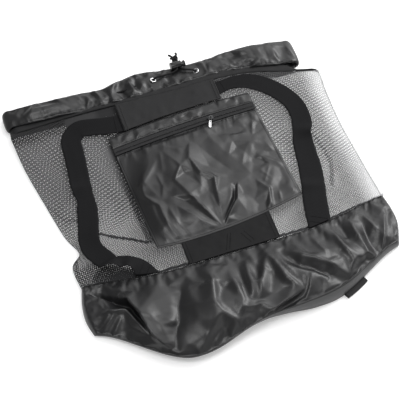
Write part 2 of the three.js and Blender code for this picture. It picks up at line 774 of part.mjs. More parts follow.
function zipSlider() {
  const { x, y, z } = sliderPlace();
  const outline = new THREE.Shape();
  outline.moveTo(-SLIDER.length / 2, -SLIDER.width / 4);
  outline.lineTo(SLIDER.length / 5, -SLIDER.width / 2);
  outline.lineTo(SLIDER.length / 2, -SLIDER.width / 3);
  outline.lineTo(SLIDER.length / 2, SLIDER.width / 3);
  outline.lineTo(SLIDER.length / 5, SLIDER.width / 2);
  outline.lineTo(-SLIDER.length / 2, SLIDER.width / 4);
  outline.closePath();
  const body = new THREE.ExtrudeGeometry(outline, { depth: SLIDER.thick, bevelEnabled: false });
  let solid = solidOf(body);
  const barZ = SLIDER.thick + SLIDER.barHeight;
  for (const side of [-1, 1]) {
    const post = new THREE.BoxGeometry(1.6, 2.4, SLIDER.barHeight + 1.8);
    post.translate(side * (PULL.knuckleLength / 2 + 1.2), 0, SLIDER.thick + SLIDER.barHeight / 2);
    solid = solid.add(solidOf(post));
  }
  const bar = new THREE.CylinderGeometry(SLIDER.barRadius, SLIDER.barRadius, PULL.knuckleLength + 3, 10);
  bar.rotateZ(Math.PI / 2);
  bar.translate(0, 0, barZ);
  const geometry = geometryFrom(solid.add(solidOf(bar)));
  geometry.rotateZ(degToRad(-PULL.yaw));
  geometry.translate(x, y, z);
  return geometry;
}

// Pull: a plate hanging from a knuckle round the slider's bar
function zipPull() {
  const { x, y, z } = sliderPlace();
  const rod = new THREE.CylinderGeometry(PULL.knuckle, PULL.knuckle, PULL.knuckleLength, 14);
  const bore = new THREE.CylinderGeometry(PULL.knuckleBore, PULL.knuckleBore, PULL.knuckleLength + 2, 12);
  rod.rotateZ(Math.PI / 2);
  bore.rotateZ(Math.PI / 2);
  const half = PULL.width / 2;
  const outline = new THREE.Shape();
  outline.moveTo(-1.6, -1.5);
  outline.lineTo(-1.6, -5);
  outline.lineTo(-half, -8);
  outline.lineTo(-half, -PULL.length + half);
  outline.absarc(0, -PULL.length + half, half, Math.PI, 2 * Math.PI, false);
  outline.lineTo(half, -8);
  outline.lineTo(1.6, -5);
  outline.lineTo(1.6, -1.5);
  outline.closePath();
  const plate = new THREE.ExtrudeGeometry(outline, { depth: PULL.thick, bevelEnabled: false, curveSegments: 8 });
  plate.translate(0, 0, -PULL.thick / 2);
  const geometry = geometryFrom(solidOf(rod).add(solidOf(plate)).subtract(solidOf(bore)));
  geometry.rotateZ(degToRad(-PULL.yaw));
  geometry.translate(x, y, z + SLIDER.thick + SLIDER.barHeight);
  return geometry;
}

// Folded webbing tab, flat on the floor outside the bottom panel
function baseTab() {
  const edgeShare = (x) => (x - FLOOR_EDGE.leftX) / (FLOOR_EDGE.rightX - FLOOR_EDGE.leftX);
  const edgeY = (x) => smoothAt(FLOOR_EDGE.y, edgeShare(x));
  const slope = Math.atan2(edgeY(TAB.x + 22) - edgeY(TAB.x - 22), 44);
  const outer = TAB.fold / 2;
  const inner = outer - TAB.layer;
  const straight = TAB.reach - outer;
  const outline = new THREE.Shape();
  outline.moveTo(0, 0);
  outline.lineTo(straight, 0);
  outline.absarc(straight, outer, outer, -Math.PI / 2, Math.PI / 2, false);
  outline.lineTo(0, TAB.fold);
  outline.lineTo(0, TAB.fold - TAB.layer);
  outline.lineTo(straight, TAB.fold - TAB.layer);
  outline.absarc(straight, outer, inner, Math.PI / 2, -Math.PI / 2, true);
  outline.lineTo(0, TAB.layer);
  outline.closePath();
  const geometry = new THREE.ExtrudeGeometry(outline, { depth: TAB.width, bevelEnabled: false, curveSegments: 6 });
  geometry.translate(0, 0, -TAB.width / 2);
  geometry.rotateX(Math.PI / 2);
  geometry.rotateZ(slope - Math.PI / 2);
  const clear = 2.2;
  geometry.translate(TAB.x + Math.sin(slope) * clear, edgeY(TAB.x) - Math.cos(slope) * clear, 0);
  return geometry;
}

const FINISH = {
  taffeta: { color: 0x1d1e20, roughness: 0.45, metalness: 0 },
  mesh: { color: 0x2a2b2d, roughness: 0.7, metalness: 0 },
  webbing: { color: 0x141516, roughness: 0.8, metalness: 0 },
  tape: { color: 0x101112, roughness: 0.75, metalness: 0 },
  cord: { color: 0x161718, roughness: 0.8, metalness: 0 },
  plastic: { color: 0x18191b, roughness: 0.4, metalness: 0 },
  metal: { color: 0xb9bcc0, roughness: 0.3, metalness: 1 },
};

const PIECES = [
  ["collar", collar(), "taffeta"],
  ["seam_tape", seamTape(), "tape"],
  ["mesh_body", meshBody(), "mesh"],
  ["base", base(), "taffeta"],
  ["upper_yoke", upperYoke(), "tape"],
  ["lower_yoke", lowerYoke(), "tape"],
  ["pocket_header", pocketHeader(), "taffeta"],
  ["pocket_front", pocketFront(), "taffeta"],
  ["zip_tape", zipTape(), "tape"],
  ["zip_slider", zipSlider(), "metal"],
  ["zip_pull", zipPull(), "metal"],
  ["strap_left", strap(STRAP_LEFT, 30), "webbing"],
  ["strap_right", strap(STRAP_RIGHT, 26), "webbing"],
  ["eyelet_left", eyelet(EYELETS.left), "metal"],
  ["eyelet_right", eyelet(EYELETS.right), "metal"],
  ["drawcord_left", drawcordLeft(), "cord"],
  ["drawcord_right", drawcordRight(), "cord"],
  ["drawcord_run", drawcordRun(), "cord"],
  ["cord_lock_barrel", lockBarrel(), "plastic"],
  ["cord_lock_button", lockButton(), "plastic"],
  ["cord_knot", cordKnot(), "cord"],
  ["base_tab", baseTab(), "webbing"],
];

const group = new THREE.Group();
group.name = "drawstring_ball_bag";
for (const [name, geometry, finish] of PIECES) {
  const mesh = new THREE.Mesh(geometry, new THREE.MeshStandardMaterial(FINISH[finish]));
  mesh.name = name;
  group.add(mesh);
}

export default group;
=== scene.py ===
import math

import bpy
import numpy as np
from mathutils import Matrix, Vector
from mathutils.geometry import delaunay_2d_cdt


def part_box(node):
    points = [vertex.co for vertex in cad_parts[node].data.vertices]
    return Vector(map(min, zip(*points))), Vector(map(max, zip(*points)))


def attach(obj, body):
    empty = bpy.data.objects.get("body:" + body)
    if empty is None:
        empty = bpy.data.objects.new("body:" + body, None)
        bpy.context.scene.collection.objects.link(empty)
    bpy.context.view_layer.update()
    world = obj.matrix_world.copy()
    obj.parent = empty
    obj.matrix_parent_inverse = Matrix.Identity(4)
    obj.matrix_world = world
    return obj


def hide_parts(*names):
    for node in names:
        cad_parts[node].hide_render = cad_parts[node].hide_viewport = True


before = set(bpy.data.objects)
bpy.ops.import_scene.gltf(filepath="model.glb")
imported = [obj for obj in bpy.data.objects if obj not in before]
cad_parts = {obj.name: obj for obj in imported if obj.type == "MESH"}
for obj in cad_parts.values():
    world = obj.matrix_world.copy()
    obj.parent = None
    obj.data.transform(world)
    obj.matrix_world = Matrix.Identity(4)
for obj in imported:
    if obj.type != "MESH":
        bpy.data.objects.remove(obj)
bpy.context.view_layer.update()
scene = bpy.context.scene
bpy.ops.object.select_all(action="DESELECT")
mm = 0.001
print("frame loaded")

# Studio: camera at the picture's angle, pale floor, soft light from the right and behind

studio = {
    "lookAt": (-0.012, 0.008, 0.0),
    "azimuth": -19,
    "elevation": 58,
    "lens": 120,
    "sensor": 36,
    "distance": 2.533,
    "skyAxis": (0.66, 0.41, 0.63),
    "sky": (0.3, 2.2),  # strength away from the axis and along it
    "skyEdge": 0.55,
    "floorGlow": 0.26,
    "floorSize": 14,
    "floorHeight": -0.0004,  # just under the bag
    "lights": [  # place, size, power
        ((1.9, 0.6, 1.5), 1.2, 34),
        ((-0.35, -0.4, 2.4), 0.9, 22),
        ((0.3, -2.4, 1.2), 1.2, 6),
    ],
}


def aimAt(place, target):
    return (Vector(target) - Vector(place)).to_track_quat("-Z", "Y").to_euler()


def setStudio():
    turn, rise = math.radians(studio["azimuth"]), math.radians(studio["elevation"])
    back = Vector((math.sin(turn) * math.cos(rise), -math.cos(turn) * math.cos(rise), math.sin(rise)))
    place = Vector(studio["lookAt"]) + back * studio["distance"]
    bpy.ops.object.camera_add(location=place, rotation=aimAt(place, studio["lookAt"]))
    camera = bpy.context.object
    camera.data.lens = studio["lens"]
    camera.data.sensor_width = studio["sensor"]
    camera.data.dof.use_dof = False
    scene.camera = camera
    for spot, size, power in studio["lights"]:
        bpy.ops.object.light_add(type="AREA", location=spot, rotation=aimAt(spot, (0, 0, 0)))
        light = bpy.context.object.data
        light.size, light.energy = size, power
    world = bpy.data.worlds.new("studioSky")
    world.use_nodes = True
    tree = world.node_tree
    facing = tree.nodes.new("ShaderNodeVectorMath")
    facing.operation = "DOT_PRODUCT"
    facing.inputs[1].default_value = studio["skyAxis"]
    tree.links.new(tree.nodes.new("ShaderNodeTexCoord").outputs["Generated"], facing.inputs[0])
    level = tree.nodes.new("ShaderNodeMapRange")
    level.inputs["From Min"].default_value = studio["skyEdge"]
    level.inputs["To Min"].default_value, level.inputs["To Max"].default_value = studio["sky"]
    tree.links.new(facing.outputs["Value"], level.inputs["Value"])
    tree.nodes["Background"].inputs["Color"].default_value = (1, 1, 1, 1)
    tree.links.new(level.outputs["Result"], tree.nodes["Background"].inputs["Strength"])
    scene.world = world
    scene.view_settings.view_transform = "Standard"
    bpy.ops.mesh.primitive_plane_add(size=studio["floorSize"], location=(0, 0, studio["floorHeight"]))
    floor = bpy.context.object
    floor.name = "floor"
    bpy.ops.object.transform_apply()
    return floor


floor = setStudio()
print("studio set")

# Shader groups that several finishes share


def newGroup(name, inputs, outputs):
    tree = bpy.data.node_groups.new(name, "ShaderNodeTree")
    for label, kind, value in inputs:
        socket = tree.interface.new_socket(label, in_out="INPUT", socket_type=kind)
        if value is not None:
            socket.default_value = value
    for label, kind in outputs:
        tree.interface.new_socket(label, in_out="OUTPUT", socket_type=kind)
    start = tree.nodes.new("NodeGroupInput")
    end = tree.nodes.new("NodeGroupOutput")
    return tree, start, end


def addNode(tree, kind, links=(), **settings):
    node = tree.nodes.new(kind)
    for key, value in settings.items():
        setattr(node, key, value)
    for socket, source in links:
        if hasattr(source, "is_output"):
            tree.links.new(source, node.inputs[socket])
        else:
            node.inputs[socket].default_value = source
    return node


def mathNode(tree, operation, *values):
    return addNode(tree, "ShaderNodeMath", list(enumerate(values)), operation=operation).outputs[0]


def mixNode(tree, share, first, second, blend="MIX"):  # sockets 6, 7 and 2 hold the colours
    links = [("Factor", share), (6, first), (7, second)]
    return addNode(tree, "ShaderNodeMix", links, data_type="RGBA", blend_type=blend).outputs[2]


def makeWeaveGroup():  # plain weave: threads over and under along two directions
    tree, start, end = newGroup(
        "plainWeave",
        [
            ("Place", "NodeSocketVector", None),
            ("Warp", "NodeSocketFloat", 2000.0),
            ("Weft", "NodeSocketFloat", 2000.0),
            ("Mottle", "NodeSocketFloat", 60.0),
        ],
        [("Height", "NodeSocketFloat"), ("Shade", "NodeSocketFloat")],
    )
    split = addNode(tree, "ShaderNodeSeparateXYZ", [(0, start.outputs["Place"])])
    waves = []
    for axis, rate in ((0, "Warp"), (1, "Weft")):
        phase = mathNode(tree, "MULTIPLY", split.outputs[axis], start.outputs[rate])
        waves.append(mathNode(tree, "SINE", phase))
    cross = mathNode(tree, "MULTIPLY", waves[0], waves[1])
    noise = addNode(
        tree,
        "ShaderNodeTexNoise",
        [("Vector", start.outputs["Place"]), ("Scale", start.outputs["Mottle"]), ("Detail", 3.0)],
    )
    tree.links.new(mathNode(tree, "MULTIPLY_ADD", cross, 0.5, 0.5), end.inputs["Height"])
    tree.links.new(noise.outputs["Fac"], end.inputs["Shade"])
    return tree


def makeWearGroup():  # uneven tone of handled cloth: broad patches and fine lint
    tree, start, end = newGroup(
        "handledTone",
        [
            ("Place", "NodeSocketVector", None),
            ("Deep", "NodeSocketColor", (0.02, 0.02, 0.02, 1)),
            ("Pale", "NodeSocketColor", (0.05, 0.05, 0.05, 1)),
            ("Patch", "NodeSocketFloat", 9.0),
            ("Grain", "NodeSocketFloat", 0.5),
        ],
        [("Color", "NodeSocketColor"), ("Rough", "NodeSocketFloat")],
    )
    patch = addNode(
        tree,
        "ShaderNodeTexNoise",
        [("Vector", start.outputs["Place"]), ("Scale", start.outputs["Patch"]), ("Detail", 5.0)],
    )
    share = mathNode(tree, "MULTIPLY_ADD", patch.outputs["Fac"], 0.7, start.outputs["Grain"])
    tree.links.new(mixNode(tree, share, start.outputs["Deep"], start.outputs["Pale"]), end.inputs["Color"])
    tree.links.new(patch.outputs["Fac"], end.inputs["Rough"])
    return tree


weaveGroup = makeWeaveGroup()
wearGroup = makeWearGroup()


def startFinish(name, deep, pale, look):  # a new shader with the shared tone on it
    made = bpy.data.materials.new(name)
    made.use_nodes = True
    tree = made.node_tree
    shader = tree.nodes["Principled BSDF"]
    place = addNode(tree, "ShaderNodeTexCoord").outputs[look["coords"]]
    links = [("Place", place), ("Deep", (*deep, 1)), ("Pale", (*pale, 1))]
    links += [("Patch", look["patch"]), ("Grain", look["grain"])]
    wear = addNode(tree, "ShaderNodeGroup", links, node_tree=wearGroup)
    rough = mathNode(tree, "MULTIPLY_ADD", wear.outputs["Rough"], look["roughSpread"], look["rough"])
    tree.links.new(rough, shader.inputs["Roughness"])
    return made, tree, shader, place, wear


def addBump(tree, shader, height, look):
    links = [("Height", height), ("Strength", look["bump"]), ("Distance", look["depth"])]
    bump = addNode(tree, "ShaderNodeBump", links)
    tree.links.new(bump.outputs["Normal"], shader.inputs["Normal"])


clothLook = {  # what every cloth has, unless its own finish says otherwise
    "coords": "Object",
    "patch": 9,
    "grain": 0.1,
    "mottle": 60,
    "shadow": (0.3, 0.3, 0.3, 1),  # tone between the threads
    "shadowShare": 0.2,
    "roughSpread": 0.12,
    "slub": 0.5,
    "bump": 0.25,
    "depth": 0.0003,
    "sheen": 0,
    "sheenRough": 0.4,
}


def clothFinish(name, deep, pale, **own):
    look = {**clothLook, **own}
    made, tree, shader, place, wear = startFinish(name, deep, pale, look)
    links = [("Place", place), ("Warp", look["warp"]), ("Weft", look["weft"]), ("Mottle", look["mottle"])]
    weave = addNode(tree, "ShaderNodeGroup", links, node_tree=weaveGroup)
    darker = mixNode(tree, look["shadowShare"], wear.outputs["Color"], look["shadow"], "MULTIPLY")
    tone = mixNode(tree, weave.outputs["Height"], darker, wear.outputs["Color"])
    tree.links.new(tone, shader.inputs["Base Color"])
    height = mathNode(tree, "MULTIPLY_ADD", weave.outputs["Shade"], look["slub"], weave.outputs["Height"])
    addBump(tree, shader, height, look)
    shader.inputs["Specular IOR Level"].default_value = look["gloss"]
    shader.inputs["Sheen Weight"].default_value = look["sheen"]
    shader.inputs["Sheen Roughness"].default_value = look["sheenRough"]
    return made


finish = {
    "taffeta": clothFinish(
        "coatedTaffeta", (0.008, 0.008, 0.0085), (0.014, 0.014, 0.015),
        warp=5200, weft=5200, rough=0.33, gloss=0.48, bump=0.12, depth=0.0002,
    ),
    "panel": clothFinish(
        "bottomTaffeta", (0.03, 0.03, 0.031), (0.05, 0.05, 0.052),
        warp=5200, weft=5200, rough=0.45, gloss=0.45, bump=0.15, depth=0.0002,
    ),
    "binding": clothFinish(
        "mattBinding", (0.010, 0.010, 0.0105), (0.018, 0.018, 0.019),
        warp=4200, weft=4200, rough=0.6, gloss=0.22, bump=0.3, sheen=0.02,
    ),
    "yoke": clothFinish(
        "mattYoke", (0.006, 0.006, 0.0065), (0.012, 0.012, 0.0125),
        warp=4200, weft=4200, rough=0.65, gloss=0.15, bump=0.3,
    ),
    "webbing": clothFinish(
        "ribbedWebbing", (0.006, 0.006, 0.0065), (0.012, 0.012, 0.013),
        coords="UV", warp=60, weft=900, rough=0.7, gloss=0.09, bump=0.5, depth=0.0005,
    ),
    "net": clothFinish(
        "netYarn", (0.02, 0.02, 0.021), (0.04, 0.04, 0.042),
        warp=9000, weft=9000, rough=0.75, gloss=0.12, bump=0.2,
    ),
    "zip_tape": clothFinish(
        "zipTapeWeave", (0.012, 0.012, 0.013), (0.022, 0.022, 0.023),
        warp=5200, weft=9000, rough=0.65, gloss=0.25, bump=0.4,
    ),
    "thread": clothFinish(
        "sewingThread", (0.006, 0.006, 0.0065), (0.012, 0.012, 0.0125),
        warp=9000, weft=9000, rough=0.85, gloss=0.04, bump=0.2,
    ),
    "cord": clothFinish(
        "braidedCord", (0.006, 0.006, 0.0065), (0.016, 0.016, 0.0165),
        coords="UV", warp=38, weft=38, rough=0.6, gloss=0.14, bump=0.7, depth=0.0006,
    ),
}

hardLook = {
    "coords": "Object",
    "spread": (0.8, 1.15),  # darkest and palest share of the colour
    "patch": 320,
    "grain": 0.1,
    "roughSpread": 0.15,
    "bump": 0.1,
    "depth": 0.0002,
}


def hardFinish(name, color, rough, metallic):  # moulded or plated: fine grain and handled gloss
    deep, pale = ([part * share for part in color] for share in hardLook["spread"])
    made, tree, shader, _, wear = startFinish(name, deep, pale, {**hardLook, "rough": rough})
    tree.links.new(wear.outputs["Color"], shader.inputs["Base Color"])
    addBump(tree, shader, wear.outputs["Rough"], hardLook)
    shader.inputs["Metallic"].default_value = metallic
    return made


finish["plastic"] = hardFinish("mouldedPlastic", (0.006, 0.006, 0.0065), 0.16, 0)
finish["metal"] = hardFinish("platedMetal", (0.72, 0.72, 0.73), 0.16, 1)
finish["darkMetal"] = hardFinish("lacqueredMetal", (0.03, 0.03, 0.032), 0.3, 0)
finish["coil"] = hardFinish("zipCoil", (0.016, 0.016, 0.017), 0.34, 0)
finish["floor"] = hardFinish("paleFloor", (0.86, 0.86, 0.86), 0.6, 0)
glow = finish["floor"].node_tree.nodes["Principled BSDF"].inputs
glow["Emission Color"].default_value = (1, 1, 1, 1)
glow["Emission Strength"].default_value = studio["floorGlow"]
floor.data.materials.append(finish["floor"])
print("finishes made")

# Shape helpers: smooth values, noise, folds


def smoothAt(values, t):  # smooth value at share t of evenly spaced values
    values = np.asarray(values, float)
    last = values.shape[0] - 1
    place = np.clip(np.asarray(t, float), 0, 1) * last
    i = np.minimum(np.floor(place).astype(int), last - 1)
    f = place - i
    around = []
    for step in (-1, 0, 1, 2):
        k = np.clip(i + step, 0, last)
        around.append(values[k] if values.ndim == 1 else np.take_along_axis(values, k[None], 0)[0])
    a, b, c, d = around
    square = (2 * a - 5 * b + 4 * c - d) * f * f
    cube = (3 * b - a - 3 * c + d) * f * f * f
    return 0.5 * (2 * b + (c - a) * f + square + cube)


def smoothStep(t, low, high):
    s = np.clip((t - low) / (high - low), 0, 1)
    return s * s * (3 - 2 * s)


def hump(t, middle, width):  # bell with its top at the middle
    return np.exp(-(((t - middle) / width) ** 2))


def softNoise(x, y, cell, seed):  # even noise from 0 to 1 with lumps of about one cell
    size = 128
    lattice = np.random.RandomState(seed).rand(size, size)
    fx, fy = x / cell, y / cell
    ix, iy = np.floor(fx).astype(int), np.floor(fy).astype(int)
    tx, ty = (t * t * t * (t * (6 * t - 15) + 10) for t in (fx - ix, fy - iy))
    low, high = (
        lattice[ix % size, row % size] * (1 - tx) + lattice[(ix + 1) % size, row % size] * tx for row in (iy, iy + 1)
    )
    return low * (1 - ty) + high * ty


def crumple(x, y, cell, seed):  # sharp little ridges where two soft noises meet, from 0 to 1
    a = softNoise(x + 0.31 * y, y - 0.2 * x, cell, seed)
    b = softNoise(x - 0.17 * y, y + 0.4 * x, cell, seed + 1)
    return 1 - np.clip(np.abs(a - b) * 2.4, 0, 1)


def lineReach(line, x, y):  # distance to a line, side of it, run along it, its length
    spans = np.hypot(*(line[1:] - line[:-1]).T)
    ends = np.concatenate([[0], np.cumsum(spans)])
    best, side, along = np.full(x.shape, 1e9), np.zeros_like(x), np.zeros_like(x)
    for k, span in enumerate(spans):
        dx, dy = (line[k + 1] - line[k]) / span
        run = np.clip((x - line[k, 0]) * dx + (y - line[k, 1]) * dy, 0, span)
        ex, ey = x - line[k, 0] - run * dx, y - line[k, 1] - run * dy
        away = np.hypot(ex, ey)
        near = away < best
        best = np.where(near, away, best)
        side = np.where(near, dx * ey - dy * ex, side)
        along = np.where(near, ends[k] + run, along)
    return best, side, along, ends[-1]


def foldField(folds, x, y):  # height and sideways lean that a table of folds adds
    lift, leanX, leanY = np.zeros_like(x), np.zeros_like(x), np.zeros_like(x)
    for line, rise, left, right, *more in folds:
        lean = more[0] if more else 0
        line = np.array(line, float)
        best, side, along, total = lineReach(line, x, y)
        width = np.where(side > 0, left, right)
        fade = smoothStep(along, -1, 0.28 * total) * (1 - smoothStep(along, 0.72 * total, total + 1))
        shape = np.clip(1 - best / width, 0, 1) ** 1.5 * fade
        lift += rise * shape
        if lean:
            dx, dy = (line[-1] - line[0]) / np.hypot(*(line[-1] - line[0]))
            leanX += -dy * lean * shape
            leanY += dx * lean * shape
    return lift, leanX, leanY


def facetField(folds, region, look, x, y):  # flat facets between sharp creases
    random = np.random.RandomState(look["seed"])
    spots, heights, edges = [], [], []
    for line, rise, *_ in folds:
        first, last = len(spots), len(line) - 1
        spots += line
        heights += [rise * (0.3 if k in (0, last) else 1) for k in range(len(line))]
        edges += [(first + k, first + k + 1) for k in range(last)]
    left, right, low, high = region
    cell = look["cell"]
    gx, gy = np.meshgrid(np.arange(left, right + cell, cell), np.arange(low, high + cell, cell))
    gx = gx + cell * (0.5 * (np.arange(len(gx)) % 2)[:, None] + 0.7 * (random.rand(*gx.shape) - 0.5))
    gy = gy + cell * 0.7 * (random.rand(*gy.shape) - 0.5)
    level = look["rough"] * (2 * random.rand(*gx.shape) - 1)
    free = np.ones(gx.shape, bool)
    for line, *_ in folds:
        free &= lineReach(np.array(line, float), gx, gy)[0] > 0.45 * cell
    for quietX, quietY, reach in look.get("quiet", ()):
        free &= np.hypot(gx - quietX, gy - quietY) > reach
    spots = np.array(spots + list(zip(gx[free], gy[free])))
    heights = np.array(heights + list(level[free]))
    made = delaunay_2d_cdt([Vector(spot) for spot in spots], edges, [], 0, 0.001)
    corners, faces, source = np.array(made[0]), made[2], made[3]
    tops = []
    for corner, origin in zip(corners, source):
        near = origin[:1] or np.argsort(np.hypot(*(spots - corner).T))[:3]
        tops.append(heights[near].mean())
    lift = np.zeros_like(x)
    for a, b, c in faces:
        (ax, ay), (bx, by), (cx, cy) = corners[[a, b, c]]
        area = (bx - ax) * (cy - ay) - (cx - ax) * (by - ay)
        if abs(area) < 1e-6:
            continue
        shareB = ((x - ax) * (cy - ay) - (cx - ax) * (y - ay)) / area
        shareC = ((bx - ax) * (y - ay) - (x - ax) * (by - ay)) / area
        hit = (shareB >= 0) & (shareC >= 0) & (shareB + shareC <= 1)
        lift = np.where(hit, tops[a] + shareB * (tops[b] - tops[a]) + shareC * (tops[c] - tops[a]), lift)
    return soften(lift, look["soft"])


def soften(field, passes):
    for _ in range(passes):
        for axis in (0, 1):
            wide = np.pad(field, [(1, 1) if k == axis else (0, 0) for k in (0, 1)], mode="edge")
            before, after = (np.take(wide, np.arange(field.shape[axis]) + k, axis) for k in (0, 2))
            field = 0.5 * field + 0.25 * (before + after)
    return field


def cosSpread(count, ease):  # shares from 0 to 1, closer together at both ends
    t = np.linspace(0, 1, count)
    return t - ease * np.sin(2 * np.pi * t) / (2 * np.pi)


def edgeDrop(u, reach):  # rounds a section down to the floor at both ends
    s = np.clip(np.minimum(u, 1 - u) / reach, 0, 1)
    return np.sqrt(1 - (1 - s) ** 2)


def clothGrid(name, x, y, z):  # grid of cloth in millimetres, rows from far to near, columns left to right
    rows, columns = x.shape
    bpy.ops.object.select_all(action="DESELECT")
    bpy.ops.mesh.primitive_grid_add(x_subdivisions=columns - 1, y_subdivisions=rows - 1, size=1)
    piece = bpy.context.object
    piece.name = piece.data.name = name
    points = np.stack([x, y, z], -1)[::-1] * mm
    piece.data.vertices.foreach_set("co", points.ravel())
    piece.data.update()
    bpy.ops.object.shade_smooth()
    return piece


def makeActive(piece):
    bpy.ops.object.select_all(action="DESELECT")
    piece.select_set(True)
    bpy.context.view_layer.objects.active = piece


def weld(piece, reach=0.00002):  # joins points that meet, unless the reach is 0, and turns faces outwards
    makeActive(piece)
    bpy.ops.object.mode_set(mode="EDIT")
    bpy.ops.mesh.select_all(action="SELECT")
    if reach:
        bpy.ops.mesh.remove_doubles(threshold=reach)
    bpy.ops.mesh.normals_make_consistent(inside=False)
    bpy.ops.object.mode_set(mode="OBJECT")


def meshPiece(name, points, faces):
    mesh = bpy.data.meshes.new(name)
    mesh.from_pydata((points * mm).tolist(), [], faces)
    mesh.validate()
    piece = bpy.data.objects.new(name, mesh)
    scene.collection.objects.link(piece)
    makeActive(piece)
    bpy.ops.object.shade_smooth()
    return piece


def merge(name, parts):
    makeActive(parts[0])
    for part in parts[1:]:
        part.select_set(True)
    if len(parts) > 1:
        bpy.ops.object.join()
    parts[0].name = parts[0].data.name = name
    return parts[0]


def applyAll(piece):
    makeActive(piece)
    for modifier in list(piece.modifiers):
        bpy.ops.object.modifier_apply(modifier=modifier.name)


def dress(piece, slot, body, *nodes, surface=None):
    piece.data.materials.clear()
    piece.data.materials.append(finish[surface or slot])
    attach(piece, body)
    if nodes:
        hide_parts(*nodes)
    return piece


def shareGrid(columns, rows, start=0, end=1):
    return np.meshgrid(np.linspace(0, 1, columns), np.linspace(start, end, rows))


def sewnSheet(name, x, y, z, wall, slot, node, surface=None):  # the cloth's wall lies below the given points
    piece = clothGrid(name, x, y, z)
    modifier = piece.modifiers.new("wall", "SOLIDIFY")
    modifier.thickness, modifier.offset = wall * mm, -1
    applyAll(piece)
    return dress(piece, slot, "bag", node, surface=surface)


def settle(x, y, z, held, look):  # slack cloth between held points buckles into folds
    piece = clothGrid("settling", x, y, z)
    group = piece.vertex_groups.new(name="held")
    group.add(np.flatnonzero(held[::-1].ravel()).tolist(), 1, "REPLACE")
    cloth = piece.modifiers.new("settle", "CLOTH")
    for key, value in look["cloth"].items():
        setattr(cloth.settings, key, value)
    cloth.settings.vertex_group_mass = "held"
    cloth.settings.effector_weights.gravity = 0
    cloth.collision_settings.use_collision = False
    cloth.point_cache.frame_start, cloth.point_cache.frame_end = 1, look["frames"]
    for step in range(1, look["frames"] + 1):
        scene.frame_set(step)
    applyAll(piece)
    scene.frame_set(1)
    moved = np.zeros(x.size * 3)
    piece.data.vertices.foreach_get("co", moved)
    bpy.data.objects.remove(piece)
    start = np.stack([x, y, z], -1)
    change = moved.reshape(*x.shape, 3)[::-1] / mm - start
    far = np.linalg.norm(change, axis=-1, keepdims=True)
    change *= np.minimum(1, look["cap"] / np.maximum(far, 1e-6))
    return np.moveaxis(start + change, -1, 0)


# The bag's own sections: left end, right end, place and height at five stations

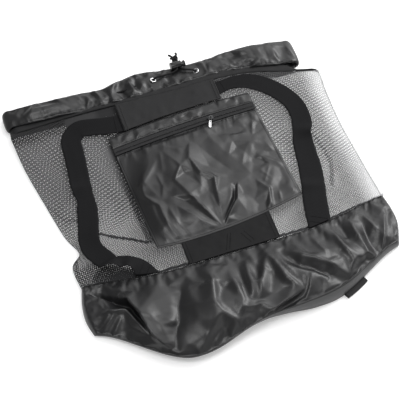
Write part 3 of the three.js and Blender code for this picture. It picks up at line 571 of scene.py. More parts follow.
netCut = {
    "sections": [
        (-316, 315, (260, 256, 250, 248, 214), (14, 23, 25, 24, 13)),
        (-309, 309, (180, 173, 172, 174, 164), (8, 20, 23, 22, 11)),
        (-294, 307, (94, 86, 82, 84, 84), (5, 19, 22, 21, 8)),
        (-278, 311, (12, -6, -8, -6, 4), (5, 20, 22, 22, 9)),
        (-262, 314, (-32, -54, -55, -54, -42), (6, 22, 25, 24, 10)),
        (-282, 316, (-58, -92, -94, -92, -69), (8, 25, 28, 26, 12)),
        (-279, 318, (-103, -133, -136, -133, -101), (9, 28, 31, 29, 14)),
    ],
    "bulges": [((-218, -9), (-134, -64), 28, 4), ((256, 120), (268, -60), 30, 4)],  # ends, width, height
    "ripples": [(2.4, 46, 51, 0.55), (1.2, 19, 52, 0.55)],
    "backWave": (1.4, 38, 57, 0),
    "low": (0.6, 0.4),  # least height of the front and of the back
    "bulgeFade": 0.08,  # share of the width where bulges fade out
    "rippleFade": (0.05, 0.03),  # shares below the mouth and beside the edges without ripples
    "backLap": 0.12,
    "backEdge": 0.03,
    "searchSteps": 22,
    "leastFace": 0.002,  # square millimetres
    "frontPitch": (3.74, 4.9),  # between holes and between rows
    "backPitch": (2.8, 3.67),
    "lean": 15,  # degrees between the rows of holes and the mouth
    "hem": 0.9,
    "wall": 0.0145,
    "flat": (0.61, 0.38),
    "strandLeft": (0.405, 0.235),  # upper part and lower part
    "strandMid": (0.255, 0.182),
    "strandRight": 0.11,
    "turnDown": (0.27, 0.54),  # where the upper part turns into the lower one
    "turnIn": (0.03, 0.58),  # where the left turns into the middle
    "turnEdge": (0.93, 0.985),
    "denseAndShadedNet": [  # line in plan, reach, strand share; thicker yarn for folds and rolled edges, and dense yarn as painted shade where the net lies in shade: under the collar's left part, by the left strap's arch and beside the pocket's left edge
        (((-217, -5), (-200, -17), (-182, -30), (-160, -44), (-134, -64)), 3.6, 0.9),
        (((-281, 86), (-268, 60), (-254, 41), (-236, 34)), 5, 0.5),
        (((236, 67), (239, 42), (243, 17), (244, 2), (238, -20), (226, -53)), 6, 0.42),
        (((266, 122), (265, 89), (271, 68), (261, 51)), 6, 0.3),
        (((258, 35), (265, 10), (275, -5)), 6, 0.3),
        (((258, 60), (266, 20), (270, -30), (260, -95)), 42, 0.25),
        (((165, -100), (215, -80)), 45, 0.24),
        (((-143, 170), (-129, 40), (-124, -60)), 14, 0.62),
        (((-185, 246), (-140, 248), (-102, 241)), 25, 0.9),
        (((-200, -120), (-182, -130)), 32, 0.93),
        (((-220, -106), (-198, -122), (-182, -132)), 40, 0.76),
        (((-244, -92), (-220, -108)), 42, 0.45),
        (((-130, 150), (8, 166), (128, 163)), 30, 0.97),
        (((-112, 186), (8, 197), (96, 198)), 9, 0.97),
        (((-279, -103), (-130, -131), (20, -134), (170, -131), (318, -101)), 4, 0.9),
        (((-135, -95), (-95, -112)), 40, 0.26),
        (((-262, -34), (-266, -56), (-270, -90)), 5, 0.5),
    ],
    "paintedLightAndShade": [  # painted light and shade on the yarn: axis, from and to of each side, yarn colour there
        # painted light: paler yarn towards the mouth
        ([(1, -0.03, 0.1)], (0.1, 0.1, 0.102, 1)),
        # painted shade: darker yarn under the collar's left part
        ([(0, -0.05, -0.09), (1, 0.222, 0.238)], (0.035, 0.035, 0.036, 1)),
        # darkest yarn again between x -138 mm and -30 mm
        ([(0, -0.15, -0.138), (0, 0.0, -0.03)], (0.02, 0.02, 0.021, 1)),
        # painted highlight: pale yarn along the right edge, where the thin net is lit
        ([(0, 0.266, 0.335)], (0.5, 0.5, 0.51, 1)),
    ],
    "mouthEnd": (225, 285),
}


def sectionEnds(sections, v):
    return smoothAt([s[0] for s in sections], v), smoothAt([s[1] for s in sections], v)


def sectionPoint(sections, u, v):
    left, right = sectionEnds(sections, v)
    y, z = (
        smoothAt(np.array([smoothAt([s[part][k] for s in sections], v) for k in range(5)]), u) for part in (2, 3)
    )
    return left + (right - left) * u, y, z


def netPoint(u, v):
    x, y, z = sectionPoint(netCut["sections"], u, v)
    edge = smoothStep(np.minimum(u, 1 - u), 0, netCut["bulgeFade"])
    for start, end, width, high in netCut["bulges"]:
        z = z + edge * high * hump(lineReach(np.array((start, end), float), x, y)[0], 0, width)
    return x, y, z


def netHeight(x, y):  # height of the net's front layer at plan points
    x, y = np.broadcast_arrays(np.asarray(x, float), np.asarray(y, float))
    shape = x.shape
    x, y = x.ravel(), y.ravel()
    high, low = np.zeros_like(x), np.ones_like(x)
    for _ in range(netCut["searchSteps"]):
        v = (high + low) / 2
        left, right = sectionEnds(netCut["sections"], v)
        u = np.clip((x - left) / (right - left), 0, 1)
        above = sectionPoint(netCut["sections"], u, v)[1] > y
        high, low = np.where(above, v, high), np.where(above, low, v)
    return netPoint(u, v)[2].reshape(shape)


def netEdgeY(x, row):
    left, right, y, _ = netCut["sections"][row]
    return smoothAt(y, (np.asarray(x, float) - left) / (right - left))


# Drawcord strands first: they leave the eyelets, pass the lock and end in the knot

cordRun = {
    "diameter": 4.0,
    "left": [
        (-16.5, 284.8, 27.6), (-14, 285, 32.6), (-9, 285.3, 36.2), (0, 285.5, 37.2), (12, 285.5, 36.3),
        (24, 285.8, 36.6), (33, 287.4, 38), (38, 292, 39.2), (38.8, 299, 39.4), (38.8, 307, 39), (38.8, 314, 36.4),
    ],
    "right": [
        (73.4, 278.6, 27.6), (71, 279.2, 32.6), (66.5, 280.4, 36.4), (59, 282.6, 37.6), (51.5, 285.6, 38.2),
        (46, 290, 39), (43.6, 297, 39.4), (43.6, 307, 39), (43.6, 314, 36.4),
    ],
    "knot": (40.5, 320, 33),
    "knotSize": 5.6,
    "knotShape": (0.42, 0.38, 0.55),
    "knotGap": 0.25,
    "tails": [[(-4, 5, 3), (-7, 8, 4), (-9, 10, 4)], [(5, 5, 3), (7, 8, 4), (6, 11, 3)]],  # from the knot's middle
}


def smoothPath(points, count, samples=400):
    points = np.array(points, float)
    t = np.linspace(0, 1, samples)
    fine = np.stack([smoothAt(points[:, k], t) for k in range(3)], -1)
    run = np.concatenate([[0], np.cumsum(np.linalg.norm(np.diff(fine, axis=0), axis=1))])
    even = np.linspace(0, run[-1], count)
    return np.stack([np.interp(even, run, fine[:, k]) for k in range(3)], -1), run[-1]


def tube(name, path, radius, sides=14):
    path = np.array(path, float)
    along = np.gradient(path, axis=0)
    along /= np.linalg.norm(along, axis=1)[:, None]
    side = np.array([0.0, 0.0, 1.0]) if abs(along[0, 2]) < 0.8 else np.array([0.0, 1.0, 0.0])
    rings = []
    angles = np.linspace(0, 2 * np.pi, sides + 1)
    for point, ahead in zip(path, along):
        side = side - ahead * np.dot(side, ahead)
        side /= np.linalg.norm(side)
        over = np.cross(ahead, side)
        ring = point + radius * (np.cos(angles)[:, None] * side + np.sin(angles)[:, None] * over)
        rings.append(ring)
    first = np.repeat(path[:1], sides + 1, 0)
    last = np.repeat(path[-1:], sides + 1, 0)
    rings = np.array([first, *rings, last])
    piece = clothGrid(name, *np.moveaxis(rings, -1, 0))
    weld(piece, 0.000005)
    return piece


strands = {}
for which in ("left", "right"):
    route, reach = smoothPath(cordRun[which], 34)
    strand = tube("drawcordStrand_" + which, route, cordRun["diameter"] / 2)
    strands[which] = (strand, route, reach)
print("cord strands", {k: round(v[2], 1) for k, v in strands.items()})


def tieKnot():
    turn = np.linspace(cordRun["knotGap"], 2 * np.pi - cordRun["knotGap"], 90)
    middle, radius = np.array(cordRun["knot"]), cordRun["diameter"] / 2
    wind = [np.sin(turn) + 2 * np.sin(2 * turn), np.cos(turn) - 2 * np.cos(2 * turn), -np.sin(3 * turn)]
    loop = np.stack(wind, -1) * cordRun["knotSize"] * np.array(cordRun["knotShape"]) + middle
    parts = [tube("knotTurns", smoothPath(loop, 90)[0], radius, 12)]
    for end, tail in zip((loop[0], loop[-1]), cordRun["tails"]):
        route = np.array([end, *(middle + np.array(tail))])
        parts.append(tube("knotTail", smoothPath(route, 14)[0], radius, 12))
    return dress(merge("cordEndKnot", parts), "cord", "bag", "cord_knot")


knot = tieKnot()

# Base cup: front wall, bottom panel and back in one cloth, sewn to the net along its far edge

baseQuiet = [(-95, -205, 30), (-105, -245, 34), (-160, -185, 34)]  # smooth places: x, y, reach

baseCut = {
    "sections": [
        (-279, 318, (-104, -134, -137, -134, -102), (10, 30, 33, 31, 15)),
        (-288, 320, (-138, -184, -184, -180, -136), (15, 40, 45, 43, 24)),
        (-290, 318, (-172, -246, -234, -222, -170), (16, 40, 49, 47, 28)),
        (-283, 305, (-203, -306, -282, -269, -207), (11, 20, 34, 36, 24)),
    ],
    "region": (-310, 340, -330, -90),  # area that the facets cover
    "facets": {"cell": 30, "rough": 3.2, "soft": 2, "seed": 41, "quiet": baseQuiet},
    "fine": {"cell": 15, "rough": 0.9, "soft": 0, "seed": 44, "quiet": baseQuiet},
    "shares": (0.45, 0.65),  # of the rounded folds and of the facets
    "crumple": (1.6, 40, 4, 0.6),  # height, cell, seed and the value that counts as level
    "pucker": (3.4, 9, 21),  # height, cell, seed
    "puckerStart": 4,  # distance from the seam at which gathers are full
    "fade": (0.14, 0.86, 0.75),  # full folds from here, weaker from there, by so much
    "sideFade": 0.05,
    "held": (0.02, 0.985, 0.01),  # seam, hem and sides that stay still while the cloth settles
    "depth": 150,  # cloth from seam to hem
    "rolls": [(0.6, 2, 2.2), (1.6, 150, 2.6)],  # along seam and hem: height, depth, width
    "low": 0.4,
    "least": 3,
    "panelBow": 3.5,
    "panelFall": 0.8,
    "panelRun": (600, 40),  # cloth along the panel and down it
    "panelWave": (1.2, 30, 31, 0.5),
    "panelReach": (3, 24, 20),  # panel's faces: below the hem, away from it, past it
    "seamShadeLine": (3.2, 6),  # painted shadow line along the net seam: its width and least height
    "backWave": (1.6, 40, 17, 0),
    "backTurn": (0.1, 0.25),  # shares in which the wave starts and the floor edge's shape ends
    "weld": 0.0004,
    "floorEdge": (-281, 303, (-200, -293, -270, -274, -208)),
    "across": 261,
    "down": 88,
    "panelRows": 9,
    "edgeReach": 0.012,
    "settle": {
        "frames": 20,
        "cap": 8,  # farthest that a point may move
        "cloth": {
            "quality": 6, "mass": 0.1, "shrink_min": -0.018, "shrink_max": -0.018,
            "tension_stiffness": 20, "compression_stiffness": 20, "shear_stiffness": 12, "bending_stiffness": 16,
            "tension_damping": 8, "compression_damping": 8, "shear_damping": 8, "bending_damping": 0.6,
            "air_damping": 3,
        },
    },
    "folds": [  # line in plan, height, width to its left and right, lean
        (((-276, -118), (-253, -134), (-234, -151), (-212, -172), (-206, -197), (-191, -238)), -17, 9, 22),
        (((-215, -143), (-205, -166), (-192, -200), (-186, -231), (-178, -253), (-163, -281)), 11, 28, 9, -6),
        (((-192, -200), (-177, -214), (-168, -238), (-160, -270)), 4.5, 11, 7),
        (((-173, -217), (-142, -239)), 3, 9, 6),
        (((-272, -176), (-242, -177), (-218, -184), (-207, -206), (-193, -244)), 8, 10, 28),
        (((-237, -184), (-268, -205), (-282, -213)), 4, 7, 7),
        (((-246, -181), (-281, -203)), 4, 6, 6),
        (((-226, -191), (-254, -220)), 3.5, 8, 9),
        (((-274, -127), (-250, -145), (-226, -154)), 5, 8, 9),
        (((-112, -176), (-130, -212), (-143, -245), (-158, -279)), -8, 20, 14),
        (((-61, -158), (-55, -190), (-61, -216), (-66, -234), (-60, -252), (-44, -268), (-34, -288)), 11, 12, 60),
        (((-22, -165), (-20, -202), (-16, -242), (-34, -267), (-49, -296)), 6, 9, 15),
        (((17, -160), (8, -213), (2, -252)), 7, 10, 13),
        (((54, -168), (27, -219), (10, -254)), 7, 15, 9),
        (((36, -166), (20, -212)), -5, 11, 10),
        (((-3, -170), (-6, -222)), -5, 12, 13),
        (((56, -200), (34, -248)), -5, 14, 15),
        (((52, -152), (63, -189), (69, -223), (81, -242), (96, -258)), 8, 7, 14),
        (((60, -158), (76, -202), (92, -242)), 4.5, 6, 4),
        (((98, -255), (55, -262), (20, -271), (0, -285), (-32, -305)), 9, 7, 18, 4),
        (((94, -265), (45, -277), (8, -290)), -8, 9, 8),
        (((88, -166), (110, -192), (133, -207), (153, -221), (182, -252)), 9, 24, 10),
        (((84, -180), (108, -212), (140, -238), (162, -254)), -6, 10, 15),
        (((147, -156), (157, -195), (156, -216)), 5.5, 8, 9),
        (((187, -152), (191, -199), (199, -227), (185, -246)), 7.5, 13, 9),
        (((228, -138), (226, -184), (231, -219), (254, -238)), 8, 15, 10),
        (((250, -152), (247, -195), (258, -226)), -7, 13, 11),
        (((297, -148), (275, -193), (255, -232)), 7, 7, 10),
        (((256, -140), (264, -165), (268, -192)), 4, 6, 6),
        (((119, -227), (104, -257), (90, -272)), 4.5, 6, 6),
        (((107, -228), (95, -256)), 3.5, 5, 5),
        (((130, -240), (146, -250)), 4, 13, 12),
        (((305, -158), (291, -205), (260, -228)), 5, 6, 8),
        (((-93, -275), (-113, -298)), 3.5, 7, 6),
        (((-66, -277), (-90, -301)), 3.5, 6, 6),
        (((172, -150), (168, -176)), -4, 9, 9),
        (((209, -146), (209, -186)), -5, 10, 10),
    ],
}


def pushOut(x, y, z, height):  # moves a grid's points along their normals
    points = np.stack([x, y, z], -1)
    normal = np.cross(np.gradient(points, axis=1), np.gradient(points, axis=0))
    normal /= np.linalg.norm(normal, axis=-1)[..., None] + 1e-9
    normal = np.where(normal[..., 2:] < 0, -normal, normal)
    return np.moveaxis(points + normal * height[..., None], -1, 0)


def ripple(look, x, y):  # look: height, cell, seed and the noise that counts as level
    high, cell, seed, level = look
    return high * (softNoise(x, y, cell, seed) - level)


def creaseLift(cut, x, y):
    foldShare, crispShare, softShare, blur = cut["shares"]
    facets = facetField(cut["folds"], cut["region"], cut["facets"], x, y)
    return foldShare * foldField(cut["folds"], x, y)[0] + crispShare * facets + softShare * soften(facets, blur)


def seamPucker(look, run, depth):  # small gathers along a seam, run along it and depth away from it
    high, cell, seed = look
    wave = softNoise(run, run * 0 + 7.3, cell, seed) - 0.5
    fine = softNoise(run + 0.25 * depth, depth * 0.2, cell * 0.5, seed + 3) - 0.5
    return high * (1.5 * wave + fine) * np.exp(-depth / 11)


def makeBase():
    cut = baseCut
    u, v = np.meshgrid(cosSpread(cut["across"], 0.45), np.linspace(0, 1, cut["down"]))
    x, y, z = (part.reshape(u.shape) for part in sectionPoint(cut["sections"], u.ravel(), v.ravel()))
    plainX, plainY = x, y
    lift, leanX, leanY = foldField(cut["folds"], x, y)
    foldShare, facetShare = cut["shares"]
    lift = foldShare * lift + facetShare * facetField(cut["folds"], cut["region"], cut["facets"], x, y)
    high, cell, seed, level = cut["crumple"]
    lift = lift + high * (crumple(x, y, cell, seed) - level)
    full, weaker, loss = cut["fade"]
    fade = smoothStep(v, 0, full) * (1 - loss * smoothStep(v, weaker, 1))
    sides = smoothStep(np.minimum(u, 1 - u), 0, cut["sideFade"])
    depth = v * cut["depth"]
    seams = seamPucker(cut["pucker"], x, depth) * smoothStep(depth, 0, cut["puckerStart"])
    for high, middle, width in cut["rolls"]:
        seams = seams + high * hump(depth, middle, width)
    x, y, z = pushOut(x, y, z, (lift * fade + seams) * sides)
    x, y = x + leanX * fade * sides, y + leanY * fade * sides
    seam, hem, side = cut["held"]
    held = (v < seam) | (v > hem) | (np.minimum(u, 1 - u) < side)
    x, y, z = settle(x, y, z, held, cut["settle"])
    fine = facetField([], cut["region"], cut["fine"], plainX, plainY) * fade * sides
    x, y, z = pushOut(x, y, z, fine)
    drop, low = edgeDrop(u, cut["edgeReach"]), cut["low"]
    z = low + (np.maximum(z, cut["least"]) - low) * drop
    x, y = (np.where(drop < 1, plain + (part - plain) * drop, part) for plain, part in ((plainX, x), (plainY, y)))
    left, right, edgeY = cut["floorEdge"]
    floorX, floorY = left + (right - left) * u[0], smoothAt(edgeY, u[0])
    panel = []
    for t in np.linspace(0, 1, cut["panelRows"] + 1)[1:]:
        wave = ripple(cut["panelWave"], u[0] * cut["panelRun"][0], u[0] * 0 + cut["panelRun"][1] * t)
        bow = (cut["panelBow"] * math.sin(math.pi * t) + wave) * drop[0]
        fall = low + (z[-1] - low) * (1 - t) ** cut["panelFall"]
        panel.append((x[-1] + (floorX - x[-1]) * t, y[-1] + (floorY - y[-1]) * t - bow, fall))
    back = 1 - v[::-1][1:]  # share of the way from the floor edge to the seam
    bx, by = plainX[::-1][1:], plainY[::-1][1:]
    bz = low + ripple(cut["backWave"], bx, by) * drop[1:] * smoothStep(back, 0, cut["backTurn"][0])
    start = smoothStep(back, 0, cut["backTurn"][1])
    bx = (floorX + (bx - plainX[-1])) * (1 - start) + bx * start
    by = (floorY + (by - plainY[-1])) * (1 - start) + by * start
    rows = zip((x, y, z), zip(*panel), (bx, by, bz))
    piece = clothGrid("baseCup", *(np.concatenate([wall, np.array(under), rear]) for wall, under, rear in rows))
    weld(piece, cut["weld"])
    dress(piece, "taffeta", "bag", "base")
    toneBaseAndPaintSeamShade(piece)
    return piece


def toneBaseAndPaintSeamShade(piece):  # the bottom panel gets a paler cloth, and the faces along the net seam get the dark yoke cloth as a painted shadow line
    for label in ("panel", "yoke"):
        piece.data.materials.append(finish[label])
    left, right, _ = baseCut["floorEdge"]
    x, y, z = np.array([face.center for face in piece.data.polygons]).T / mm
    hemY, hemZ = (smoothAt(line, (x - left) / (right - left)) for line in baseCut["sections"][-1][2:])
    below, away, past = baseCut["panelReach"]
    panel = (z < hemZ - below) & (np.abs(y - hemY) < away) & (y < hemY + past)
    width, least = baseCut["seamShadeLine"]
    # painted shadow line along the seam, in the dark yoke cloth
    seam = (y > netEdgeY(x, 6) - width) & (z > least)
    piece.data.polygons.foreach_set("material_index", (panel + 2 * seam).astype(np.int32))


base = makeBase()
print("base cup", len(base.data.polygons))

# Net: hexagon holes in a front and a back layer that meet along both sides


def hexNet(name, place, strand, upward, lean, pitch):
    hem, (stepA, stepB) = netCut["hem"], pitch
    wide, long = netCut["flat"][0] / mm, netCut["flat"][1] / mm
    cos, sin = math.cos(math.radians(lean)), math.sin(math.radians(lean))
    columns = math.ceil((wide * cos + long * abs(sin)) / stepA) + 4
    rows = math.ceil((wide * abs(sin) + long * cos) / stepB) + 4
    column, row = np.meshgrid(np.arange(columns), np.arange(rows))
    a = (column + 0.5 * (row % 2) - columns / 2) * stepA
    b = (row - rows / 2) * stepB
    middleA, middleB = wide / 2 + a * cos - b * sin, long / 2 + a * sin + b * cos
    thick = strand(np.clip(middleA / wide, 0, 1), np.clip(middleB / long, 0, 1))
    angles = np.pi / 6 + np.pi / 3 * np.arange(6)
    reach = (1 - thick)[..., None]
    offA = reach * stepA / math.sqrt(3) * np.cos(angles)
    offB = reach * stepB / 1.5 * np.sin(angles)

    def held(middle, corners, far):  # holes end at the hem, cells past the edge fall on it
        middle = middle[..., None]
        return np.where(middle < 0, 0, np.where(middle > far, far, np.clip(corners, hem, far - hem)))

    cornerA = held(middleA, middleA[..., None] + offA * cos - offB * sin, wide)
    cornerB = held(middleB, middleB[..., None] + offA * sin + offB * cos, long)
    r, c = np.meshgrid(np.arange(rows - 1), np.arange(1, columns - 1), indexing="ij")
    shift = r % 2

    def corner(up, over, k):
        return ((r + up) * columns + c + over) * 6 + k

    quads = [
        (corner(0, 0, 5), corner(0, 1, 3), corner(0, 1, 2), corner(0, 0, 0)),
        (corner(0, 0, 0), corner(1, shift, 4), corner(1, shift, 3), corner(0, 0, 1)),
        (corner(0, 0, 1), corner(1, shift - 1, 5), corner(1, shift - 1, 4), corner(0, 0, 2)),
    ]
    triangles = [
        (corner(0, 0, 0), corner(0, 1, 2), corner(1, shift, 4)),
        (corner(0, 0, 1), corner(1, shift, 3), corner(1, shift - 1, 5)),
    ]
    flat = np.stack([cornerA.ravel(), cornerB.ravel()], -1)
    faces = []
    for group in (quads, triangles):
        for ring in group:
            ring = np.stack([part.ravel() for part in ring], -1)
            points = flat[ring]
            onward = np.roll(points, -1, axis=1)
            area = (points[..., 0] * onward[..., 1] - points[..., 1] * onward[..., 0]).sum(1) / 2
            ring = ring[area > netCut["leastFace"]]
            faces.append(ring[:, ::-1] if upward else ring)
    used = np.unique(np.concatenate([ring.ravel() for ring in faces]))
    points = np.stack(place(flat[used, 0] / wide, flat[used, 1] / long), -1)
    rename = np.zeros(len(flat), int)
    rename[used] = np.arange(len(used))
    return meshPiece(name, points, [face for ring in faces for face in rename[ring].tolist()])


def frontPlace(u, v):
    wall, low = netCut["wall"], netCut["low"][0]
    inner = np.clip((u - wall) / (1 - 2 * wall), 0, 1)
    x, y, z = netPoint(inner, v)
    wave = sum(ripple(look, x, y) for look in netCut["ripples"])
    top, sides = netCut["rippleFade"]
    wave = wave * smoothStep(v, 0, top) * smoothStep(np.minimum(inner, 1 - inner), 0, sides)
    stand = np.clip(np.minimum(u, 1 - u) / wall, 0, 1)
    return x, y, low + (z + wave - low) * stand


viewSlope = 0.62  # depth on the floor that one unit of height hides in the view


def mouthLap(x, z):  # at the right end the back layer reaches on to meet the front one in the view
    return viewSlope * z * smoothStep(x, *netCut["mouthEnd"])


def backPlace(u, v):
    x, y, z = netPoint(u, v)
    y = y + mouthLap(x, z) * (1 - smoothStep(v, 0, netCut["backLap"]))
    return x, y, netCut["low"][1] + ripple(netCut["backWave"], x, y) * edgeDrop(u, netCut["backEdge"])


def strandShare(u, v):  # coarser yarn at the upper left, finest along the right edge
    down = smoothStep(v, *netCut["turnDown"])
    left, middle = (up + (low - up) * down for up, low in (netCut["strandLeft"], netCut["strandMid"]))
    share = left + (middle - left) * smoothStep(u, *netCut["turnIn"])
    return share + (netCut["strandRight"] - share) * smoothStep(u, *netCut["turnEdge"])


def frontShare(u, v):  # doubled net along its folds and its rolled edges, and dense net as painted shade where the net lies in shade
    share = strandShare(u, v)
    x, y, _ = netPoint(u, v)
    for line, reach, dense in netCut["denseAndShadedNet"]:
        away = lineReach(np.array(line, float), x, y)[0]
        share = np.maximum(share, dense * (1 - smoothStep(away, 0.5 * reach, reach)))
    return share


def paintNetLightAndShade(made):  # painted light and shade on the yarn: paler towards the mouth and palest at the right edge where the thin net is lit, darker under the collar's left part where it lies in shade
    tree = made.node_tree
    shader = tree.nodes["Principled BSDF"]
    color = shader.inputs["Base Color"].links[0].from_socket
    split = addNode(tree, "ShaderNodeSeparateXYZ", [(0, addNode(tree, "ShaderNodeTexCoord").outputs["Object"])])
    for sides, paintedYarnTone in netCut["paintedLightAndShade"]:
        share = 1.0
        for axis, start, end in sides:
            links = [("Value", split.outputs[axis]), ("From Min", start), ("From Max", end)]
            share = mathNode(tree, "MULTIPLY", share, addNode(tree, "ShaderNodeMapRange", links).outputs["Result"])
        # each row mixes its painted yarn tone over the colour so far
        color = mixNode(tree, share, color, paintedYarnTone)
    tree.links.new(color, shader.inputs["Base Color"])


paintNetLightAndShade(finish["net"])
netFront = hexNet("netFront", frontPlace, frontShare, True, -netCut["lean"], netCut["frontPitch"])
dress(netFront, "net", "bag", "mesh_body")
netBack = hexNet("netBack", backPlace, strandShare, False, netCut["lean"], netCut["backPitch"])
dress(netBack, "net", "bag")
print("net", len(netFront.data.polygons), "faces in front,", len(netBack.data.polygons), "behind")

# Collar: puffed casing round the mouth

collarCut = {
    "thick": 10,
    "frontZ": 26,
    "backZ": 5,
    "left": -305.4,
    "right": 267,
    "lowY": (270, 260, 258.5, 260, 240),
    "rimY": (310, 304, 302, 302, 295),
    "puffs": [  # x, width, rise of the rim, swell of the front
        (-215, 60, -0.5, 0.25), (-125, 20, -2, 0), (-38, 44, 11, 0), (190, 70, 6, 0.4),
    ],
    "region": (-340, 300, 235, 325),
    "shares": (0.4, 0.5, 0.45, 2),  # of rounded folds, of crisp and of softened facets, and how far softened
    "pucker": (2.0, 10, 75),  # height, cell, seed
    "roundness": (0.75, 0.6),  # of the casing's section, upwards and outwards
    "calmEnds": (4, 16),  # distances from both ends
    "calmEdge": (0.55, 1.3),  # shares of each calm place's reach
    "leastBusy": 0.35,
    "rimStart": 0.7,
    "least": 0.2,
    "insideWave": (1.2, 24, 77, 0.3),
    "rimWave": (2.5, 26, 79, 0.5),
    "facets": {"cell": 15, "rough": 6.4, "soft": 0, "seed": 45},
    "fine": {"cell": 9, "rough": 2.6, "soft": 0, "seed": 46},
    "busy": (-190, -140, 60, 120),  # fine crumples between these places
    "endSquash": (0.62, 0.85, 60),
    "frontSteps": 300,
    "turnSteps": 10,
    "around": 48,
    "folds": [
        (((-65, 303), (-58, 276), (-64, 258)), 4, 7, 11),
        (((-28, 296), (-49, 266)), 3.5, 6, 7),
        (((-85, 305), (-106, 280)), 4, 7, 8),
        (((-49, 306), (-24, 292)), 2.5, 5, 6),
        (((0, 276), (12, 264)), 2, 5, 5),
        (((26, 275), (44, 266)), 2, 4, 4),
        (((88, 300), (94, 260)), 4, 7, 9),
        (((68, 270), (61, 258)), 2, 5, 5),
        (((-290, 280), (-200, 287), (-140, 281)), 3.5, 12, 10),
        (((-292, 268), (-230, 273), (-170, 268)), -2.5, 7, 7),
        (((-168, 300), (-150, 276)), 3.5, 8, 8),
        (((-135, 303), (-124, 270)), 3.5, 7, 8),
        (((120, 296), (140, 270)), 3, 8, 9),
        (((150, 304), (230, 292), (262, 280)), 3.5, 9, 12),
        (((160, 276), (220, 272)), 2.5, 7, 8),
    ],
    "calm": [(-15, 285, 17), (72, 279, 17), (40, 296, 24)],  # kept flat under eyelets and lock
}


mouthRadius = (collarCut["frontZ"] - collarCut["backZ"]) / 2
mouthMiddle = (collarCut["frontZ"] + collarCut["backZ"]) / 2


def collarShare(x):
    left, right = collarCut["left"] - mouthRadius, collarCut["right"] + mouthRadius
    return (np.asarray(x, float) - left) / (right - left)


def collarPuff(x, part):
    return sum(puff[part] * hump(x, puff[0], puff[1]) for puff in collarCut["puffs"])


def collarLow(x):
    return smoothAt(collarCut["lowY"], collarShare(x))


def collarRim(x):
    return smoothAt(collarCut["rimY"], collarShare(x)) + collarPuff(np.asarray(x, float), 2)


def collarPress(x):  # both ends lie pressed flatter than the middle
    left, right, reach = collarCut["endSquash"]
    turn = mouthRadius + collarCut["thick"] / 2
    press = 1 - (1 - left) * (1 - smoothStep(x - collarCut["left"] + turn, 0, reach))
    return press - (1 - right) * (1 - smoothStep(collarCut["right"] + turn - x, 0, reach))


def mouthLoop(ahead, behind, left, right, wide, backZ, bend):  # x and height once round the flat mouth
    x = [ahead, right + wide * np.sin(bend), behind, left - wide * np.sin(bend)]
    z = [ahead * 0 + collarCut["frontZ"], mouthMiddle + mouthRadius * np.cos(bend)]
    z += [behind * 0 + backZ, mouthMiddle - mouthRadius * np.cos(bend)]
    return np.concatenate(x), np.concatenate(z)


def makeCollar():
    cut = collarCut
    forward = np.linspace(cut["left"], cut["right"], cut["frontSteps"])
    bend = np.linspace(0, np.pi, cut["turnSteps"] + 2)[1:-1]
    x, z = mouthLoop(forward, forward[::-1], cut["left"], cut["right"], mouthRadius, cut["backZ"], bend)
    outX = np.concatenate([forward * 0, np.sin(bend), forward * 0, -np.sin(bend)])
    outZ = np.concatenate([forward * 0 + 1, np.cos(bend), forward * 0 - 1, -np.cos(bend)])
    x, z, outX, outZ = (np.append(part, part[0]) for part in (x, z, outX, outZ))
    angles = np.linspace(-np.pi / 2, 1.5 * np.pi, cut["around"] + 1)[:, None]
    high, wide = cut["roundness"]
    up = 0.5 + 0.5 * np.sign(np.sin(angles)) * np.abs(np.sin(angles)) ** high
    out = np.sign(np.cos(angles)) * np.abs(np.cos(angles)) ** wide
    low, rim = collarLow(x), collarRim(x)
    y = low + (rim - low) * up
    swell = 1 + np.maximum(outZ, 0) * collarPuff(x, 3)
    offset = out * (cut["thick"] / 2 * np.where(out > 0, swell, 1))
    gridX, gridZ = x + outX * offset, z + outZ * offset
    lift = creaseLift(cut, gridX, y)
    rise, full, fall, gone = cut["busy"]
    busy = smoothStep(gridX, rise, full) * (1 - smoothStep(gridX, fall, gone))
    busy = cut["leastBusy"] + (1 - cut["leastBusy"]) * busy
    lift += busy * facetField([], cut["region"], cut["fine"], gridX, y)
    lift += seamPucker(cut["pucker"], gridX, np.maximum(y - low, 0))
    calm = smoothStep(np.minimum(gridX - gridX.min(), gridX.max() - gridX), *cut["calmEnds"])
    for cx, cy, reach in cut["calm"]:
        calm *= smoothStep(np.hypot(gridX - cx, y - cy), *(share * reach for share in cut["calmEdge"]))
    facing, inside = np.clip(out * outZ, 0, 1), np.clip(-out * outZ, 0, 1) * (outZ > 0)
    gridZ = gridZ + lift * facing * calm + inside * ripple(cut["insideWave"], gridX, y)
    rimWave = ripple(cut["rimWave"], gridX, y * 0 + 3) * np.clip((up - cut["rimStart"]) / (1 - cut["rimStart"]), 0, 1)
    press = collarPress(gridX)
    y = y + viewSlope * gridZ * (1 - press)
    piece = clothGrid("collarCasing", gridX, y + rimWave * calm, np.maximum(gridZ * press, cut["least"]))
    weld(piece)
    return dress(piece, "taffeta", "bag", "collar")


collar = makeCollar()
print("collar", len(collar.data.polygons))

# Dark binding between net and collar

bindingCut = {
    "ends": (-315, 313),
    "across": 220,
    "rows": 9,
    "lap": (0.4, 2.5),  # past the net's edge and over the collar's
    "tail": (240, 272, 2.6),  # narrows between these places to this width
    "height": (16, 25, 26.5, 25.5, 15),
    "crown": 1.6,
    "seamRise": 2.2,  # its far edge rises into the collar's seam
    "wave": (0.9, 12, 81, 0.5),
    "low": (0.6, 0.5),  # least height of the front, height of the back
}


